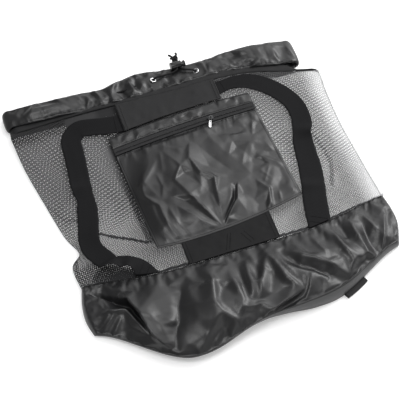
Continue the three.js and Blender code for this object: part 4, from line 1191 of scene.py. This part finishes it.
def makeBinding():
    cut = bindingCut
    left, right = cut["ends"]
    u = cosSpread(cut["across"], 0.6)
    x = left + (right - left) * u
    low, high = netEdgeY(x, 0) + cut["lap"][0], collarLow(x) + cut["lap"][1]
    start, end, width = cut["tail"]
    high = high + (low + width - high) * smoothStep(x, start, end)
    drop = edgeDrop(u, 0.03)
    z = np.maximum(smoothAt(cut["height"], u), netHeight(x, low)) * drop
    t = np.linspace(0, 1, cut["rows"])[:, None]
    flatX, y = x + 0 * t, high + (low - high) * t
    crown = cut["crown"] * np.sin(np.pi * t) ** 0.6 + cut["seamRise"] * (1 - t) ** 2
    crown = crown + ripple(cut["wave"], flatX, y)
    front = np.maximum(z + crown * drop, cut["low"][0])
    sides = ((flatX, flatX), (y, y + mouthLap(flatX, front)), (front, 0 * flatX + cut["low"][1]))
    rings = [np.concatenate([top, under[:, ::-1], top[:, :1]], 1) for top, under in sides]
    piece = clothGrid("mouthBinding", *rings)
    weld(piece, 0.0002)
    return dress(piece, "binding", "bag", "seam_tape")


makeBinding()

# Pocket, yokes and zip lie on the net

pocketCut = {
    "topLeft": (-140, 183),
    "topRight": (154, 199),
    "bottomLeft": (-126, -83),
    "bottomRight": (169, -57),
    "topBow": 6,
    "bottomBow": -13,
    "puff": 16,
    "puffStarts": [(0.55, 0.4), (0.45, 0.21)],  # share of the puff, and where it is full
    "puffEnd": 0.8,
    "hold": (0.45, 0.05, 0.23, 0.95),  # creases inside the steep side, right edge, zip and bottom edge
    "busy": (0.6, 0.85, 0.5, 0.2, 0.4),  # fine creases: start and full at the right, share near the zip and its end
    "deepest": (6, 0.6),  # a crease's depth on the puff and off it
    "puckerDeepest": 0.8,
    "slope": (0.21, 0.21, 0.18, 0.07, 0.08, 0.085, 0.085),  # width of the steep left side, from zip to bottom
    "crown": (0.74, 0.78, 1.0, 0.76, 0.5, 0.25, 0.0),  # height from left to right
    "flat": (0.302, 0.238),
    "headerFlat": (0.296, 0.027),
    "headerEnd": 0.096,
    "tapeStart": 0.101,
    "tapeEnd": 0.158,
    "frontStart": 0.163,
    "lie": 1.4,
    "wall": 1.2,
    "across": 170,
    "down": 130,
    "headerRows": 26,
    "depth": 270,  # cloth from top to bottom edge
    "region": (-160, 190, -110, 200),
    "headerRegion": (-160, 180, 150, 220),
    "shares": (0.3, 0.55, 0.45, 3),
    "wave": (1.6, 17, 53, 0.5),
    "pucker": (3.0, 9, 105),
    "headerBow": 1.5,
    "facets": {"cell": 21, "rough": 3.4, "soft": 0, "seed": 43, "quiet": [(34, 86, 22), (62, 48, 24), (72, 8, 20)]},
    "fine": {"cell": 15, "rough": 1.2, "soft": 2, "seed": 49},
    "dimples": {"cell": 11, "rough": 2.0, "soft": 1, "seed": 47},
    "folds": [
        (((-51, 112), (-31, 67), (-51, 39), (-34, -2), (-20, -33), (5, -82)), 6, 15, 7),
        (((-67, 100), (-107, 55), (-88, 8)), 5, 9, 15),
        (((-79, 72), (-76, 35), (-86, 6)), 4, 8, 6),
        (((-131, 47), (-96, -1), (-86, -22)), 4.5, 8, 10),
        (((-54, 131), (-13, 100)), 4.5, 6, 11),
        (((-56, 120), (-67, 62)), 4, 8, 8),
        (((5, 120), (-10, 79), (0, 42), (22, 23), (15, -12), (8, -64)), 6.5, 28, 8),
        (((-12, 50), (-7, 14), (-20, -9)), 4, 8, 8),
        (((3, -1), (5, -70)), 4, 5, 7),
        (((-33, -8), (3, -76)), 4, 6, 8),
        (((-66, -11), (-34, -56), (0, -88)), 4.5, 7, 11),
        (((48, 3), (38, -29), (8, -68)), 5, 5, 8),
        (((61, 2), (48, -32), (16, -66), (7, -78)), 5.5, 11, 4),
        (((55, -2), (43, -31), (12, -66)), -6, 3, 3),
        (((30, -61), (52, -82)), 3, 5, 5),
        (((124, 48), (165, 16)), 4.5, 6, 9),
        (((111, 18), (127, -8)), 4, 6, 6),
        (((135, 26), (107, -17)), 4.5, 6, 7),
        (((117, -26), (105, -74)), 4.5, 5, 6),
        (((130, -34), (124, -70)), 4, 5, 5),
        (((96, 1), (113, -29), (98, -77)), 5.5, 6, 11),
        (((167, 0), (160, -40), (141, -66)), 4, 5, 15),
        (((80, 108), (119, 108)), 4, 8, 9),
        (((139, 134), (126, 98)), 4, 6, 7),
        (((18, 104), (62, 28)), -5, 15, 15),
        (((-80, -7), (-75, -51), (-56, -91)), 4.5, 7, 9),
        (((-102, 4), (-92, -45), (-77, -95)), 4.5, 7, 8),
        (((-115, -50), (-88, -92)), 3.5, 6, 7),
        (((-122, -2), (-112, -57)), 3.5, 6, 7),
        (((84, 96), (66, 66)), 3.5, 9, 10),
        (((98, 66), (84, 40)), 3, 8, 9),
    ],
}


def pocketPlan(s, t):
    cut = pocketCut
    top = np.multiply.outer(1 - s, cut["topLeft"]) + np.multiply.outer(s, cut["topRight"])
    bottom = np.multiply.outer(1 - s, cut["bottomLeft"]) + np.multiply.outer(s, cut["bottomRight"])
    place = top * (1 - t)[..., None] + bottom * t[..., None]
    bow = 4 * s * (1 - s) * (cut["topBow"] + (cut["bottomBow"] - cut["topBow"]) * t)
    return place[..., 0], place[..., 1] + bow


def makePocketFront():
    cut = pocketCut
    top = cut["frontStart"]
    s, t = shareGrid(cut["across"], cut["down"], top)
    x, y = pocketPlan(s, t)
    steep = s / smoothAt(cut["slope"], t)
    sides = smoothStep(steep, 0, 1) * smoothAt(cut["crown"], s)
    close = 1 - smoothStep(t, cut["puffEnd"], 1)
    swell = sum(part * smoothStep(t, top, full) * close for part, full in cut["puffStarts"])
    z = netHeight(x, y) + cut["lie"] + cut["wall"] + sides * swell * cut["puff"]
    lift = creaseLift(cut, x, y) + ripple(cut["wave"], x, y)
    left, right, zipEdge, bottom = cut["hold"]
    hold = smoothStep(steep, left, 1) * smoothStep(1 - s, 0, right) * smoothStep(t, top, zipEdge)
    hold = hold * (1 - smoothStep(t, bottom, 1))
    start, full, share, near, far = cut["busy"]
    busy = smoothStep(s, start, full) + share * (1 - smoothStep(t, near, far))
    lift += busy * facetField([], cut["region"], cut["fine"], x, y)
    zipSide = (t - top) * cut["depth"]
    pucker = np.maximum(seamPucker(cut["pucker"], x, zipSide), -cut["puckerDeepest"])
    onPuff, offPuff = cut["deepest"]
    deepest = onPuff * sides * smoothStep(t, top, cut["puffStarts"][0][1]) * close + offPuff
    z = z + np.maximum(lift * hold, -deepest) + pucker * smoothStep(zipSide, 0, 3)
    return sewnSheet("pocketPanel", x, y, z, cut["wall"], "taffeta", "pocket_front")


def makeHeader():
    cut = pocketCut
    s, t = shareGrid(cut["across"], cut["headerRows"], 0, cut["headerEnd"])
    x, y = pocketPlan(s, t)
    share = t / cut["headerEnd"]
    dimple = 0.5 + facetField([], cut["headerRegion"], cut["dimples"], x, y)
    hold = smoothStep(np.minimum(s, 1 - s), 0, 0.02) * smoothStep(share, 0, 0.2) * (1 - smoothStep(share, 0.8, 1))
    rise = np.maximum(dimple * hold + cut["headerBow"] * np.sin(np.pi * share), -0.4)
    z = netHeight(x, y) + cut["lie"] + cut["wall"] + rise
    return sewnSheet("pocketHeader", x, y, z, cut["wall"], "taffeta", "pocket_header")


def pocketEdgeY(x, t):
    cut = pocketCut
    left = cut["topLeft"][0] + (cut["bottomLeft"][0] - cut["topLeft"][0]) * t
    right = cut["topRight"][0] + (cut["bottomRight"][0] - cut["topRight"][0]) * t
    s = (np.asarray(x, float) - left) / (right - left)
    return pocketPlan(s, s * 0 + t)[1]


yokeCut = {
    "upper": {"reach": (-105, 99), "flat": (0.205, 0.054), "gaps": (0.5, 1.2), "rise": 1.8, "surface": "binding"},
    "lower": {"reach": (-82, 95), "flat": (0.178, 0.05), "gaps": (0.4, 1.2), "rise": 0.7, "surface": "yoke"},
    "wall": 1.4,
    "across": 110,
    "down": 36,
    "waves": [(1.4, 30, 121, 0), (0.7, 11, 123, 0)],
}


def yokeEdges(which, x, seamGap, pocketGap):  # far and near edge of a yoke, with a gap from each neighbour
    if which == "upper":
        return netEdgeY(x, 0) - seamGap, pocketEdgeY(x, 0) + pocketGap
    return pocketEdgeY(x, 1) - pocketGap, netEdgeY(x, 6) + seamGap


def makeYoke(which):
    cut = yokeCut[which]
    left, right = cut["reach"]
    s, t = shareGrid(yokeCut["across"], yokeCut["down"])
    x = left + (right - left) * s
    far, near = yokeEdges(which, x, *cut["gaps"])
    y = far + (near - far) * t
    wave = sum(ripple(look, x, y) for look in yokeCut["waves"])
    hem = cut["rise"] * (0.75 + 0.25 * smoothStep(np.minimum(s, 1 - s) * (right - left), 14, 5))
    z = netHeight(x, y) + pocketCut["lie"] + yokeCut["wall"] + wave + hem
    return sewnSheet(which + "Yoke", x, y, z, yokeCut["wall"], "binding", which + "_yoke", cut["surface"])


pocket = makePocketFront()
header = makeHeader()
upperYoke, lowerYoke = makeYoke("upper"), makeYoke("lower")
print("pocket and yokes made")

# Webbing straps

strapCut = {
    "width": 38,
    "thick": 1.8,
    "lie": 1.4,
    "steps": 210,
    "across": 13,
    "selvedge": (0.5, 17, 1.6),  # height, distance from the middle, width
    "wave": (0.6, 30, 131, 0.3),
    "bulge": 0.7,  # roundness of its edges
    "right": [
        (94, 226), (128, 231), (160, 226), (190, 209), (216, 181), (232, 148), (232, 108),
        (219, 72), (212, 36), (206, -4), (196, -44), (185, -84), (176, -122), (170, -146),
    ],
    "left": [
        (-100, 209), (-134, 213), (-162, 220), (-189, 223), (-208, 206), (-211, 176), (-215, 138), (-219, 100),
        (-219, 66), (-225, 36), (-229, 18), (-234, 0), (-238, -18), (-237, -37), (-226, -60), (-213, -83),
        (-199, -89), (-184, -96), (-170, -108), (-162, -124), (-156, -142),
    ],
    "rolls": {  # place on the strap, reach along it, roll in degrees, lift
        "right": [((225, 80), 14, 10, 2), ((201, -44), 12, -6, 1.5)],
        "left": [((-217, 100), 12, -7, 1.5), ((-211, -84), 11, -38, 2), ((-184, -96), 24, -14, 11)],
    },
    "narrow": {  # place on the strap, reach along it, loss of width
        "right": [((118, 230), 40, 0.3), ((222, 74), 12, 0.1), ((203, -30), 70, -0.16), ((178, -110), 50, -0.12)],
        "left": [((-219, 72), 15, 0.16), ((-184, -96), 24, 0.4)],
    },
}


def makeStrap(which):
    cut = strapCut
    path, reach = smoothPath([(px, py, 0) for px, py in cut[which]], cut["steps"])
    run = np.linspace(0, 1, cut["steps"]) * reach
    ahead = np.gradient(path[:, :2], axis=0)
    ahead /= np.linalg.norm(ahead, axis=1)[:, None]
    side = np.stack([-ahead[:, 1], ahead[:, 0]], -1)

    def around(place, nearby):
        return hump(run, run[np.argmin(np.hypot(*(path[:, :2] - place).T))], nearby)

    roll, lift, width = 0 * run, 0 * run, 0 * run + cut["width"]
    for place, nearby, angle, high in cut["rolls"][which]:
        roll += math.radians(angle) * around(place, nearby)
        lift += high * around(place, nearby)
    for place, nearby, loss in cut["narrow"][which]:
        width *= 1 - loss * around(place, nearby)
    off = np.linspace(-0.5, 0.5, cut["across"]) * width[:, None]
    x = path[:, :1] + side[:, :1] * off
    y = np.maximum(path[:, 1:2] + side[:, 1:] * off, netEdgeY(x, 6) + 0.6)
    ground = netHeight(x, y) + cut["lie"]
    flat = ground.max(1, keepdims=True) * 0.5 + ground * 0.5
    tilt, squeeze = np.sin(roll)[:, None], np.cos(roll)[:, None]
    z = np.maximum(ground, flat) + lift[:, None] + off * tilt + np.abs(tilt) * cut["width"] * 0.5
    high, middle, wide = cut["selvedge"]
    z += high * hump(np.abs(off), middle, wide) + ripple(cut["wave"], x, y)
    x, y = (path[:, k : k + 1] + (part - path[:, k : k + 1]) * squeeze for k, part in enumerate((x, y)))
    top, under = np.stack([x, y, z + cut["thick"]], -1), np.stack([x, y, z], -1)[:, ::-1]
    bulge = np.concatenate([side, side[:, :1] * 0], -1) * cut["bulge"]
    ends = (top[:, -1] + under[:, 0]) / 2 + bulge, (top[:, 0] + under[:, -1]) / 2 - bulge
    loop = np.concatenate([top, ends[0][:, None], under, ends[1][:, None], top[:, :1]], 1)
    caps = [np.repeat(end.mean(0, keepdims=True), loop.shape[1], 0)[None] for end in (loop[0], loop[-1])]
    loop = np.concatenate([caps[0], loop, caps[1]])
    piece = clothGrid("carryStrap_" + which, *np.moveaxis(loop, -1, 0))
    weld(piece, 0.000005)
    return dress(piece, "webbing", "bag", "strap_" + which)


strapLeft, strapRight = makeStrap("left"), makeStrap("right")
print("straps made")

# Zip: tape, two rows of coil turns, slider and pull

zipCut = {
    "rows": 9,
    "across": 150,
    "rise": 1.5,
    "wall": 0.9,
    "sag": 0.5,
    "wave": (0.7, 16, 141, 0.5),
    "coilLong": 290,
    "coilEnds": (0.012, 0.988),
    "coilPitch": 1.7,
    "coilReach": 1.5,
    "coilHalf": 0.5,
    "coilHigh": 0.9,
    "coilLift": 0.2,
    "coilLap": 0.35,  # how far both rows reach past the middle
}


def makeTape():
    start, end = pocketCut["tapeStart"], pocketCut["tapeEnd"]
    s, t = shareGrid(zipCut["across"], zipCut["rows"], start, end)
    x, y = pocketPlan(s, t)
    sag = zipCut["sag"] * np.cos(2 * np.pi * (t - start) / (end - start)) + ripple(zipCut["wave"], x, y)
    z = netHeight(x, y) + pocketCut["lie"] + zipCut["rise"] + sag
    return sewnSheet("zipTape", x, y, z, zipCut["wall"], "zip_tape", "zip_tape")


def makeCoil():
    cut = zipCut
    s = np.linspace(*cut["coilEnds"], int(cut["coilLong"] / cut["coilPitch"]))
    x, y = pocketPlan(s, s * 0 + (pocketCut["tapeStart"] + pocketCut["tapeEnd"]) / 2)
    z = netHeight(x, y) + pocketCut["lie"] + cut["rise"] + cut["coilLift"]
    ahead = np.stack([np.gradient(x), np.gradient(y), 0 * x], -1)
    ahead /= np.linalg.norm(ahead, axis=1)[:, None]
    cross = np.stack([-ahead[:, 1], ahead[:, 0], ahead[:, 2]], -1)
    high = np.array([0, 0, cut["coilHigh"]])
    bars = []
    for side in (1, -1):
        start = np.stack([x, y, z], -1) + ahead * (0.25 * side * cut["coilPitch"]) - cross * side * cut["coilLap"]
        bars.append(beads(start, cross * side * cut["coilReach"], ahead * cut["coilHalf"], high))
    return dress(beadMesh("zipCoil", bars), "zip_tape", "bag", surface="coil")


beadRings = [(0.0, 0.55), (0.3, 1.0), (0.7, 1.0), (1.0, 0.55)]  # place along a bar, and its thickness there


def beads(start, reach, half, high):  # rounded little bars: rings of six points along each, closed by tips
    turns = (np.arange(6) * np.pi / 3)[None, :, None]
    around = np.cos(turns) * half[:, None] + np.sin(turns) * high
    rings = [(start + reach * along)[:, None] + swell * around for along, swell in beadRings]
    points = np.concatenate([(start - reach * 0.08)[:, None], *rings, (start + reach * 1.08)[:, None]], 1)
    faces = []
    for k in range(6):
        n = (k + 1) % 6
        faces.append((0, 1 + n, 1 + k))
        faces += [(a + k, a + n, a + 6 + n, a + 6 + k) for a in (1, 7, 13)]
        faces.append((19 + k, 19 + n, 25))
    every = [tuple(26 * bar + v for v in face) for bar in range(len(start)) for face in faces]
    return points.reshape(-1, 3), every


def beadMesh(name, groups):
    starts = np.cumsum([0] + [len(points) for points, _ in groups]).tolist()
    faces = [tuple(first + v for v in face) for first, (_, every) in zip(starts, groups) for face in every]
    piece = meshPiece(name, np.concatenate([points for points, _ in groups]), faces)
    weld(piece, 0)
    return piece


makeTape()
makeCoil()
print("zip made")

# Hard pieces


def metres(values):
    return [part * mm for part in values]


def pickFaces(piece, test):
    makeActive(piece)
    bpy.context.tool_settings.mesh_select_mode = (False, False, True)
    bpy.ops.object.mode_set(mode="EDIT")
    bpy.ops.mesh.select_all(action="DESELECT")
    bpy.ops.object.mode_set(mode="OBJECT")
    for face in piece.data.polygons:
        face.select = test(face)
    bpy.ops.object.mode_set(mode="EDIT")


def dish(piece, test, rim, move):  # inset the picked faces and push them along
    pickFaces(piece, test)
    bpy.ops.mesh.inset(thickness=rim * mm)
    bpy.ops.mesh.extrude_region_move(TRANSFORM_OT_translate={"value": metres(move)})
    bpy.ops.object.mode_set(mode="OBJECT")


def roundEdges(piece, width, angle=35):
    modifier = piece.modifiers.new("round", "BEVEL")
    modifier.width, modifier.segments = width * mm, 3
    modifier.limit_method, modifier.angle_limit = "ANGLE", math.radians(angle)
    applyAll(piece)


def cutAway(piece, cutter):
    modifier = piece.modifiers.new("cut", "BOOLEAN")
    modifier.operation, modifier.solver, modifier.object = "DIFFERENCE", "EXACT", cutter
    applyAll(piece)
    bpy.data.objects.remove(cutter)


def joinParts(name, parts):
    piece = merge(name, parts)
    bpy.ops.object.transform_apply()
    bpy.ops.object.shade_smooth_by_angle(angle=math.radians(40))
    return piece


def block(size, place):
    bpy.ops.object.select_all(action="DESELECT")
    bpy.ops.mesh.primitive_cube_add(size=1, location=metres(place))
    bpy.context.object.scale = metres(size)
    bpy.ops.object.transform_apply()
    return bpy.context.object


def rod(radius, depth, place, turn=(0, 0, 0), sides=40):
    bpy.ops.object.select_all(action="DESELECT")
    bpy.ops.mesh.primitive_cylinder_add(
        vertices=sides, radius=radius * mm, depth=depth * mm, location=metres(place), rotation=turn
    )
    bpy.ops.object.transform_apply()
    return bpy.context.object


def ringBar(major, minor, place, scale=(1, 1, 1), turn=(0, 0, 0)):
    bpy.ops.object.select_all(action="DESELECT")
    bpy.ops.mesh.primitive_torus_add(
        major_radius=major * mm, minor_radius=minor * mm, major_segments=44, minor_segments=14,
        location=metres(place), rotation=turn,
    )
    bpy.context.object.scale = scale
    bpy.ops.object.transform_apply()
    return bpy.context.object


eyeletCut = {
    "left": (-15, 285, 31.7),
    "right": (72, 279, 31.7),
    "tilt": {"left": (-10, 18), "right": (-8, -18)},  # degrees about x and y: the side that the cord pulls lies lower
    "ring": 5.1,
    "lip": 1.5,
    "flat": 0.6,
    "bore": 3.7,
    "deep": 4.2,
    "wall": 0.5,
}


def makeEyelet(which):
    cut = eyeletCut
    x, y, z = cut[which]
    turn = [math.radians(angle) for angle in (*cut["tilt"][which], 0)]
    lip = ringBar(cut["ring"], cut["lip"], (x, y, z), (1, 1, cut["flat"]), turn)
    sleeve = rod(cut["bore"] + cut["wall"], cut["deep"], (x, y, z - cut["deep"] / 2 + 0.4), turn)
    pickFaces(sleeve, lambda face: abs(face.normal.z) > 0.9)
    bpy.ops.mesh.inset(thickness=cut["wall"] * mm)
    bpy.ops.mesh.delete(type="FACE")
    bpy.ops.object.mode_set(mode="OBJECT")
    return dress(joinParts("eyeletRing_" + which, [lip, sleeve]), "metal", "bag", "eyelet_" + which)


for which in ("left", "right"):
    makeEyelet(which)

lockCut = {
    "axis": (299, 39.4),
    "barrel": (26, 48, 8.0),  # from, to, radius
    "bore": 5.3,
    "floor": 1.5,
    "barrelDish": (1.8, 0.6),  # rim, depth
    "slot": (35.4, 47, 6),  # from, to, height
    "head": (52, 56, 6.4),
    "headDish": (1.2, -0.5),
    "stem": (33, 4.8),  # end, radius
    "stemSlot": (36.2, 50.2),
    "round": (0.8, 0.6),  # edges of the barrel and of the button
}


def makeLock():
    y, z = lockCut["axis"]
    quarter = (0, math.pi / 2, 0)

    def along(near, far, radius):
        return rod(radius, far - near, ((near + far) / 2, y, z), quarter, 48)

    def cutSlot(piece, near, far):
        cutAway(piece, block((far - near, 40, lockCut["slot"][2]), ((near + far) / 2, y, z)))

    near, far, radius = lockCut["barrel"]
    barrel = along(near, far, radius)
    dish(barrel, lambda face: face.normal.x > 0.9, radius - lockCut["bore"], (near + lockCut["floor"] - far, 0, 0))
    rim, deep = lockCut["barrelDish"]
    dish(barrel, lambda face: face.normal.x < -0.9 and face.center.x < (near + 1) * mm, rim, (deep, 0, 0))
    roundEdges(barrel, lockCut["round"][0])
    cutSlot(barrel, *lockCut["slot"][:2])
    dress(joinParts("lockBarrel", [barrel]), "plastic", "bag", "cord_lock_barrel")
    headNear, headFar, headRadius = lockCut["head"]
    stemEnd, stemRadius = lockCut["stem"]
    button = along(headNear, headFar, headRadius)
    dish(button, lambda face: face.normal.x < -0.9, headRadius - stemRadius, (stemEnd - headNear, 0, 0))
    rim, deep = lockCut["headDish"]
    dish(button, lambda face: face.normal.x > 0.9, rim, (deep, 0, 0))
    roundEdges(button, lockCut["round"][1])
    cutSlot(button, *lockCut["stemSlot"])
    dress(joinParts("lockButton", [button]), "plastic", "button", "cord_lock_button")


makeLock()

sliderCut = {
    "place": (62.7, 163.4),
    "turn": 2,
    "size": (11, 8.5, 2.4),
    "waist": (0.62, 0.1, 0.7),  # least width, and where the widening starts and ends
    "slot": (0.5, 0.4),  # rim, depth
    "round": 0.4,
    "bridge": 2.6,
    "bridgeReach": 3.6,
    "bridgeBar": 0.7,
}
pullCut = {
    "hinge": (62.7, 163.43, 33.4),
    "turn": -20,
    "link": (2.4, 0.5, 2.9),  # radius, bar, stretch
    "linkLap": 1.6,
    "plate": (2.7, 17, 1.4),  # radius, length, thickness
    "start": 12.5,
    "taper": 0.86,
    "dish": (0.9, 0.3),
    "round": 0.25,
    "hole": (1.2, 0.4),  # radius, place past the start
}


def makeSlider():
    cut = sliderCut
    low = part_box("zip_slider")[0][2]
    long, _, top = cut["size"]
    body = block(cut["size"], (0, 0, top / 2))
    makeActive(body)
    bpy.ops.object.mode_set(mode="EDIT")
    bpy.ops.mesh.select_all(action="SELECT")
    bpy.ops.mesh.subdivide(number_cuts=3)
    bpy.ops.object.mode_set(mode="OBJECT")
    least, start, end = cut["waist"]
    for vertex in body.data.vertices:  # waisted sides, narrow where the rows meet
        vertex.co.y *= least + (1 - least) * smoothStep(vertex.co.x / (long * mm) + 0.5, start, end)
    rim, deep = cut["slot"]
    for way in (1, -1):  # a slot along each side, where the tape passes
        dish(body, lambda face: face.normal.y * way > 0.8, rim, (0, -deep * way, 0))
    roundEdges(body, cut["round"])
    angle = np.linspace(0, np.pi, 16)
    rise = top - 0.6 + (cut["bridge"] + 0.6) * np.sin(angle) ** 0.7
    arch = np.stack([cut["bridgeReach"] * np.cos(angle), angle * 0, rise], -1)
    slider = joinParts("zipSlider", [body, tube("sliderBridge", arch, cut["bridgeBar"], 10)])
    slider.location = (*metres(cut["place"]), low)
    slider.rotation_euler.z = math.radians(cut["turn"])
    makeActive(slider)
    bpy.ops.object.transform_apply()
    return dress(slider, "metal", "bag", "zip_slider", surface="darkMetal")


def makePull():
    cut = pullCut
    major, minor, stretch = cut["link"]
    radius, long, thick = cut["plate"]
    link = ringBar(major, minor, (0, -major * stretch + cut["linkLap"], 0), (1, stretch, 1))
    plate = rod(radius, thick, (0, 0, 0))
    for vertex in plate.data.vertices:
        vertex.co.y -= (cut["start"] if vertex.co.y > 0 else cut["start"] + long - 2 * radius) * mm
        vertex.co.x *= cut["taper"] if vertex.co.y > -(cut["start"] + radius) * mm else 1
    rim, deep = cut["dish"]
    for way in (1, -1):
        dish(plate, lambda face: face.normal.z * way > 0.9, rim, (0, 0, -deep * way))
    roundEdges(plate, cut["round"])
    hole, past = cut["hole"]
    cutAway(plate, rod(hole, 6, (0, -cut["start"] - past, 0), sides=24))
    parts = ("zipPull", plate, ["zip_pull"], None), ("zipPullLink", link, [], "darkMetal")
    for name, part, nodes, surface in parts:
        part.location = metres(cut["hinge"])
        part.rotation_euler.z = math.radians(cut["turn"])
        dress(joinParts(name, [part]), "metal", "pull", *nodes, surface=surface)


makeSlider()
makePull()
print("hard pieces made")

# Folded webbing tab at the bottom panel, and the cord inside the casing

tabCut = {
    "x": 193,
    "width": 46,
    "reach": 9.5,
    "tuck": 4,
    "fold": 1.5,
    "wall": 1.2,
    "rise": 1.5,
    "upper": 2,  # height above which its upper half starts
    "swell": (0.8, 1, 4),  # height, place, width
    "wave": (0.5, 12, 151, 0),
}


def makeTab():
    cut = tabCut
    left, right, edgeY = baseCut["floorEdge"]
    x = np.linspace(-0.5, 0.5, 30) * cut["width"] + cut["x"]
    y = smoothAt(edgeY, (x - left) / (right - left))
    slope = (y[-1] - y[0]) / (x[-1] - x[0])
    out = np.array([slope, -1.0]) / math.hypot(slope, 1)
    turn = np.linspace(-np.pi / 2, np.pi / 2, 9)
    fold = cut["fold"]
    flat = cut["reach"] - fold
    leg = np.linspace(-cut["tuck"], flat, 9)[:-1]
    away = np.concatenate([leg, flat + fold * np.cos(turn), leg[::-1]])[:, None]
    z = np.concatenate([0 * leg, fold * (1 + np.sin(turn)), 0 * leg + 2 * fold])[:, None] + cut["rise"]
    upper = z > cut["upper"]
    high, middle, wide = cut["swell"]
    gridX, gridY = x + out[0] * away, y + out[1] * away
    z = z + (high * hump(away, middle, wide) + ripple(cut["wave"], gridX, gridY)) * upper
    return sewnSheet("baseTab", gridX, gridY, z, cut["wall"], "webbing", "base_tab", "binding")


casingCut = {
    "start": 76,  # at the right eyelet
    "end": -19,  # at the left eyelet
    "inset": 4,
    "turn": 0.15,
    "wide": 0.7,
    "lift": 1,  # over the casing's back
}


def makeCasingCord():
    cut = casingCut
    left, right = collarCut["left"] + cut["inset"], collarCut["right"] - cut["inset"]
    bend = np.linspace(cut["turn"], np.pi - cut["turn"], 12)
    ahead, behind = np.linspace(cut["start"], right, 40), np.linspace(right, left, 90)
    x, z = mouthLoop(ahead, behind, left, right, cut["wide"] * mouthRadius, collarCut["backZ"] + cut["lift"], bend)
    home = np.linspace(left, cut["end"], 60)
    x, z = np.append(x, home), np.append(z, home * 0 + collarCut["frontZ"])
    y = collarLow(x) * 0.5 + collarRim(x) * 0.5
    piece = tube("casingCord", np.stack([x, y, z * collarPress(x)], -1), cordRun["diameter"] / 2, 10)
    return dress(piece, "cord", "bag", "drawcord_run")


makeTab()
makeCasingCord()
print("tab and casing cord made")

# Stitches: little bars of thread laid on the cloth along each sewn line

stitchCut = {
    "pitch": 3.6,
    "length": 2.5,
    "half": 0.45,
    "high": 0.4,
    "pocketIn": (0.015, 0.012, 0.016),  # from its sides, its zip and its bottom edge
    "headerIn": 0.012,
    "yokeIn": (2, 8),
    "yokeGap": 3,
    "yokeLines": [
        ((6, -96), (-8, -130)), ((12, -96), (-2, -130)), ((29, -103), (41, -128)), ((36, -101), (48, -126)),
    ],
    "seam": (-272, 310, 4.5),  # along the base: from, to, distance
    "mouth": (-300, 266, 4.5),
    "strapRows": (5, 17),  # distance from the strap's sewn end
    "strapIn": 5,
}


def topOf(piece, x, y):  # height of a piece's upper side at plan points, and where it has none
    down = Vector((0, 0, -1))
    hits = [piece.ray_cast(Vector((px * mm, py * mm, 0.2)), down) for px, py in zip(x, y)]
    return np.array([spot.z / mm for _, spot, _, _ in hits]), np.array([hit for hit, _, _, _ in hits])


def stitchRow(piece, x, y):
    run = np.concatenate([[0], np.cumsum(np.hypot(np.diff(x), np.diff(y)))])
    count = max(2, int(run[-1] / stitchCut["pitch"]))
    middle = (np.arange(count) + 0.5) * run[-1] / count
    ends = []
    for step in (-0.5, 0.5):
        at = np.clip(middle + step * stitchCut["length"], 0, run[-1])
        ex, ey = np.interp(at, run, x), np.interp(at, run, y)
        ez, found = topOf(piece, ex, ey)
        ends.append((np.stack([ex, ey, ez + 0.5 * stitchCut["high"]], -1), found))
    kept = ends[0][1] & ends[1][1]
    start, reach = ends[0][0][kept], (ends[1][0] - ends[0][0])[kept]
    across = np.stack([-reach[:, 1], reach[:, 0], 0 * reach[:, 0]], -1)
    across /= np.linalg.norm(across, axis=1)[:, None] + 1e-9
    return beads(start, reach, across * stitchCut["half"], np.array([0, 0, stitchCut["high"]]))


def sewLines():
    cut = stitchCut
    bpy.context.view_layer.update()
    share = np.linspace(0, 1, 60)
    level, top = 0 * share, pocketCut["frontStart"]
    sideIn, zipIn, bottomIn = cut["pocketIn"]
    edge = (top + (1 - top) * share) * 0.975 + 0.01
    lines = [(pocket, *pocketPlan(level + side, edge)) for side in (sideIn, 1 - sideIn)]
    headerRows = cut["headerIn"], pocketCut["headerEnd"] - cut["headerIn"]
    for piece, rows in ((pocket, (top + zipIn, 1 - bottomIn)), (header, headerRows)):
        lines += [(piece, *pocketPlan(share, level + row)) for row in rows]
    for which, piece in (("upper", upperYoke), ("lower", lowerYoke)):
        left, right = yokeCut[which]["reach"]
        near, deep = cut["yokeIn"]
        for x in (left + near, left + deep, right - deep, right - near):
            start, end = yokeEdges(which, x, cut["yokeGap"], cut["yokeGap"])
            lines.append((piece, level + x, start + (end - start) * share))
    for (ax, ay), (bx, by) in cut["yokeLines"]:
        lines.append((lowerYoke, ax + (bx - ax) * share, ay + (by - ay) * share))
    left, right, away = cut["seam"]
    x = left + (right - left) * share
    lines.append((base, x, netEdgeY(x, 6) - away))
    left, right, away = cut["mouth"]
    x = left + (right - left) * share
    lines.append((collar, x, collarLow(x) + away))
    across = (share - 0.5) * (strapCut["width"] - cut["strapIn"])
    for which, strap in (("left", strapLeft), ("right", strapRight)):
        for end, onward in ((0, 1), (-1, -2)):
            (ax, ay), (bx, by) = strapCut[which][end], strapCut[which][onward]
            if end == -1:
                ay = netEdgeY(ax, 6)
            dx, dy = np.array([bx - ax, by - ay]) / math.hypot(bx - ax, by - ay)
            for away in cut["strapRows"]:
                lines.append((strap, ax + dx * away - dy * across, ay + dy * away + dx * across))
    return dress(beadMesh("sewnThread", [stitchRow(*line) for line in lines]), "cord", "bag", surface="thread")


stitches = sewLines()
print("stitches", len(stitches.data.polygons))

# Drawcord strands take the cord finish


def dressLoose():
    for which, (strand, route, reach) in strands.items():
        dress(strand, "cord", "bag", "drawcord_" + which)


dressLoose()
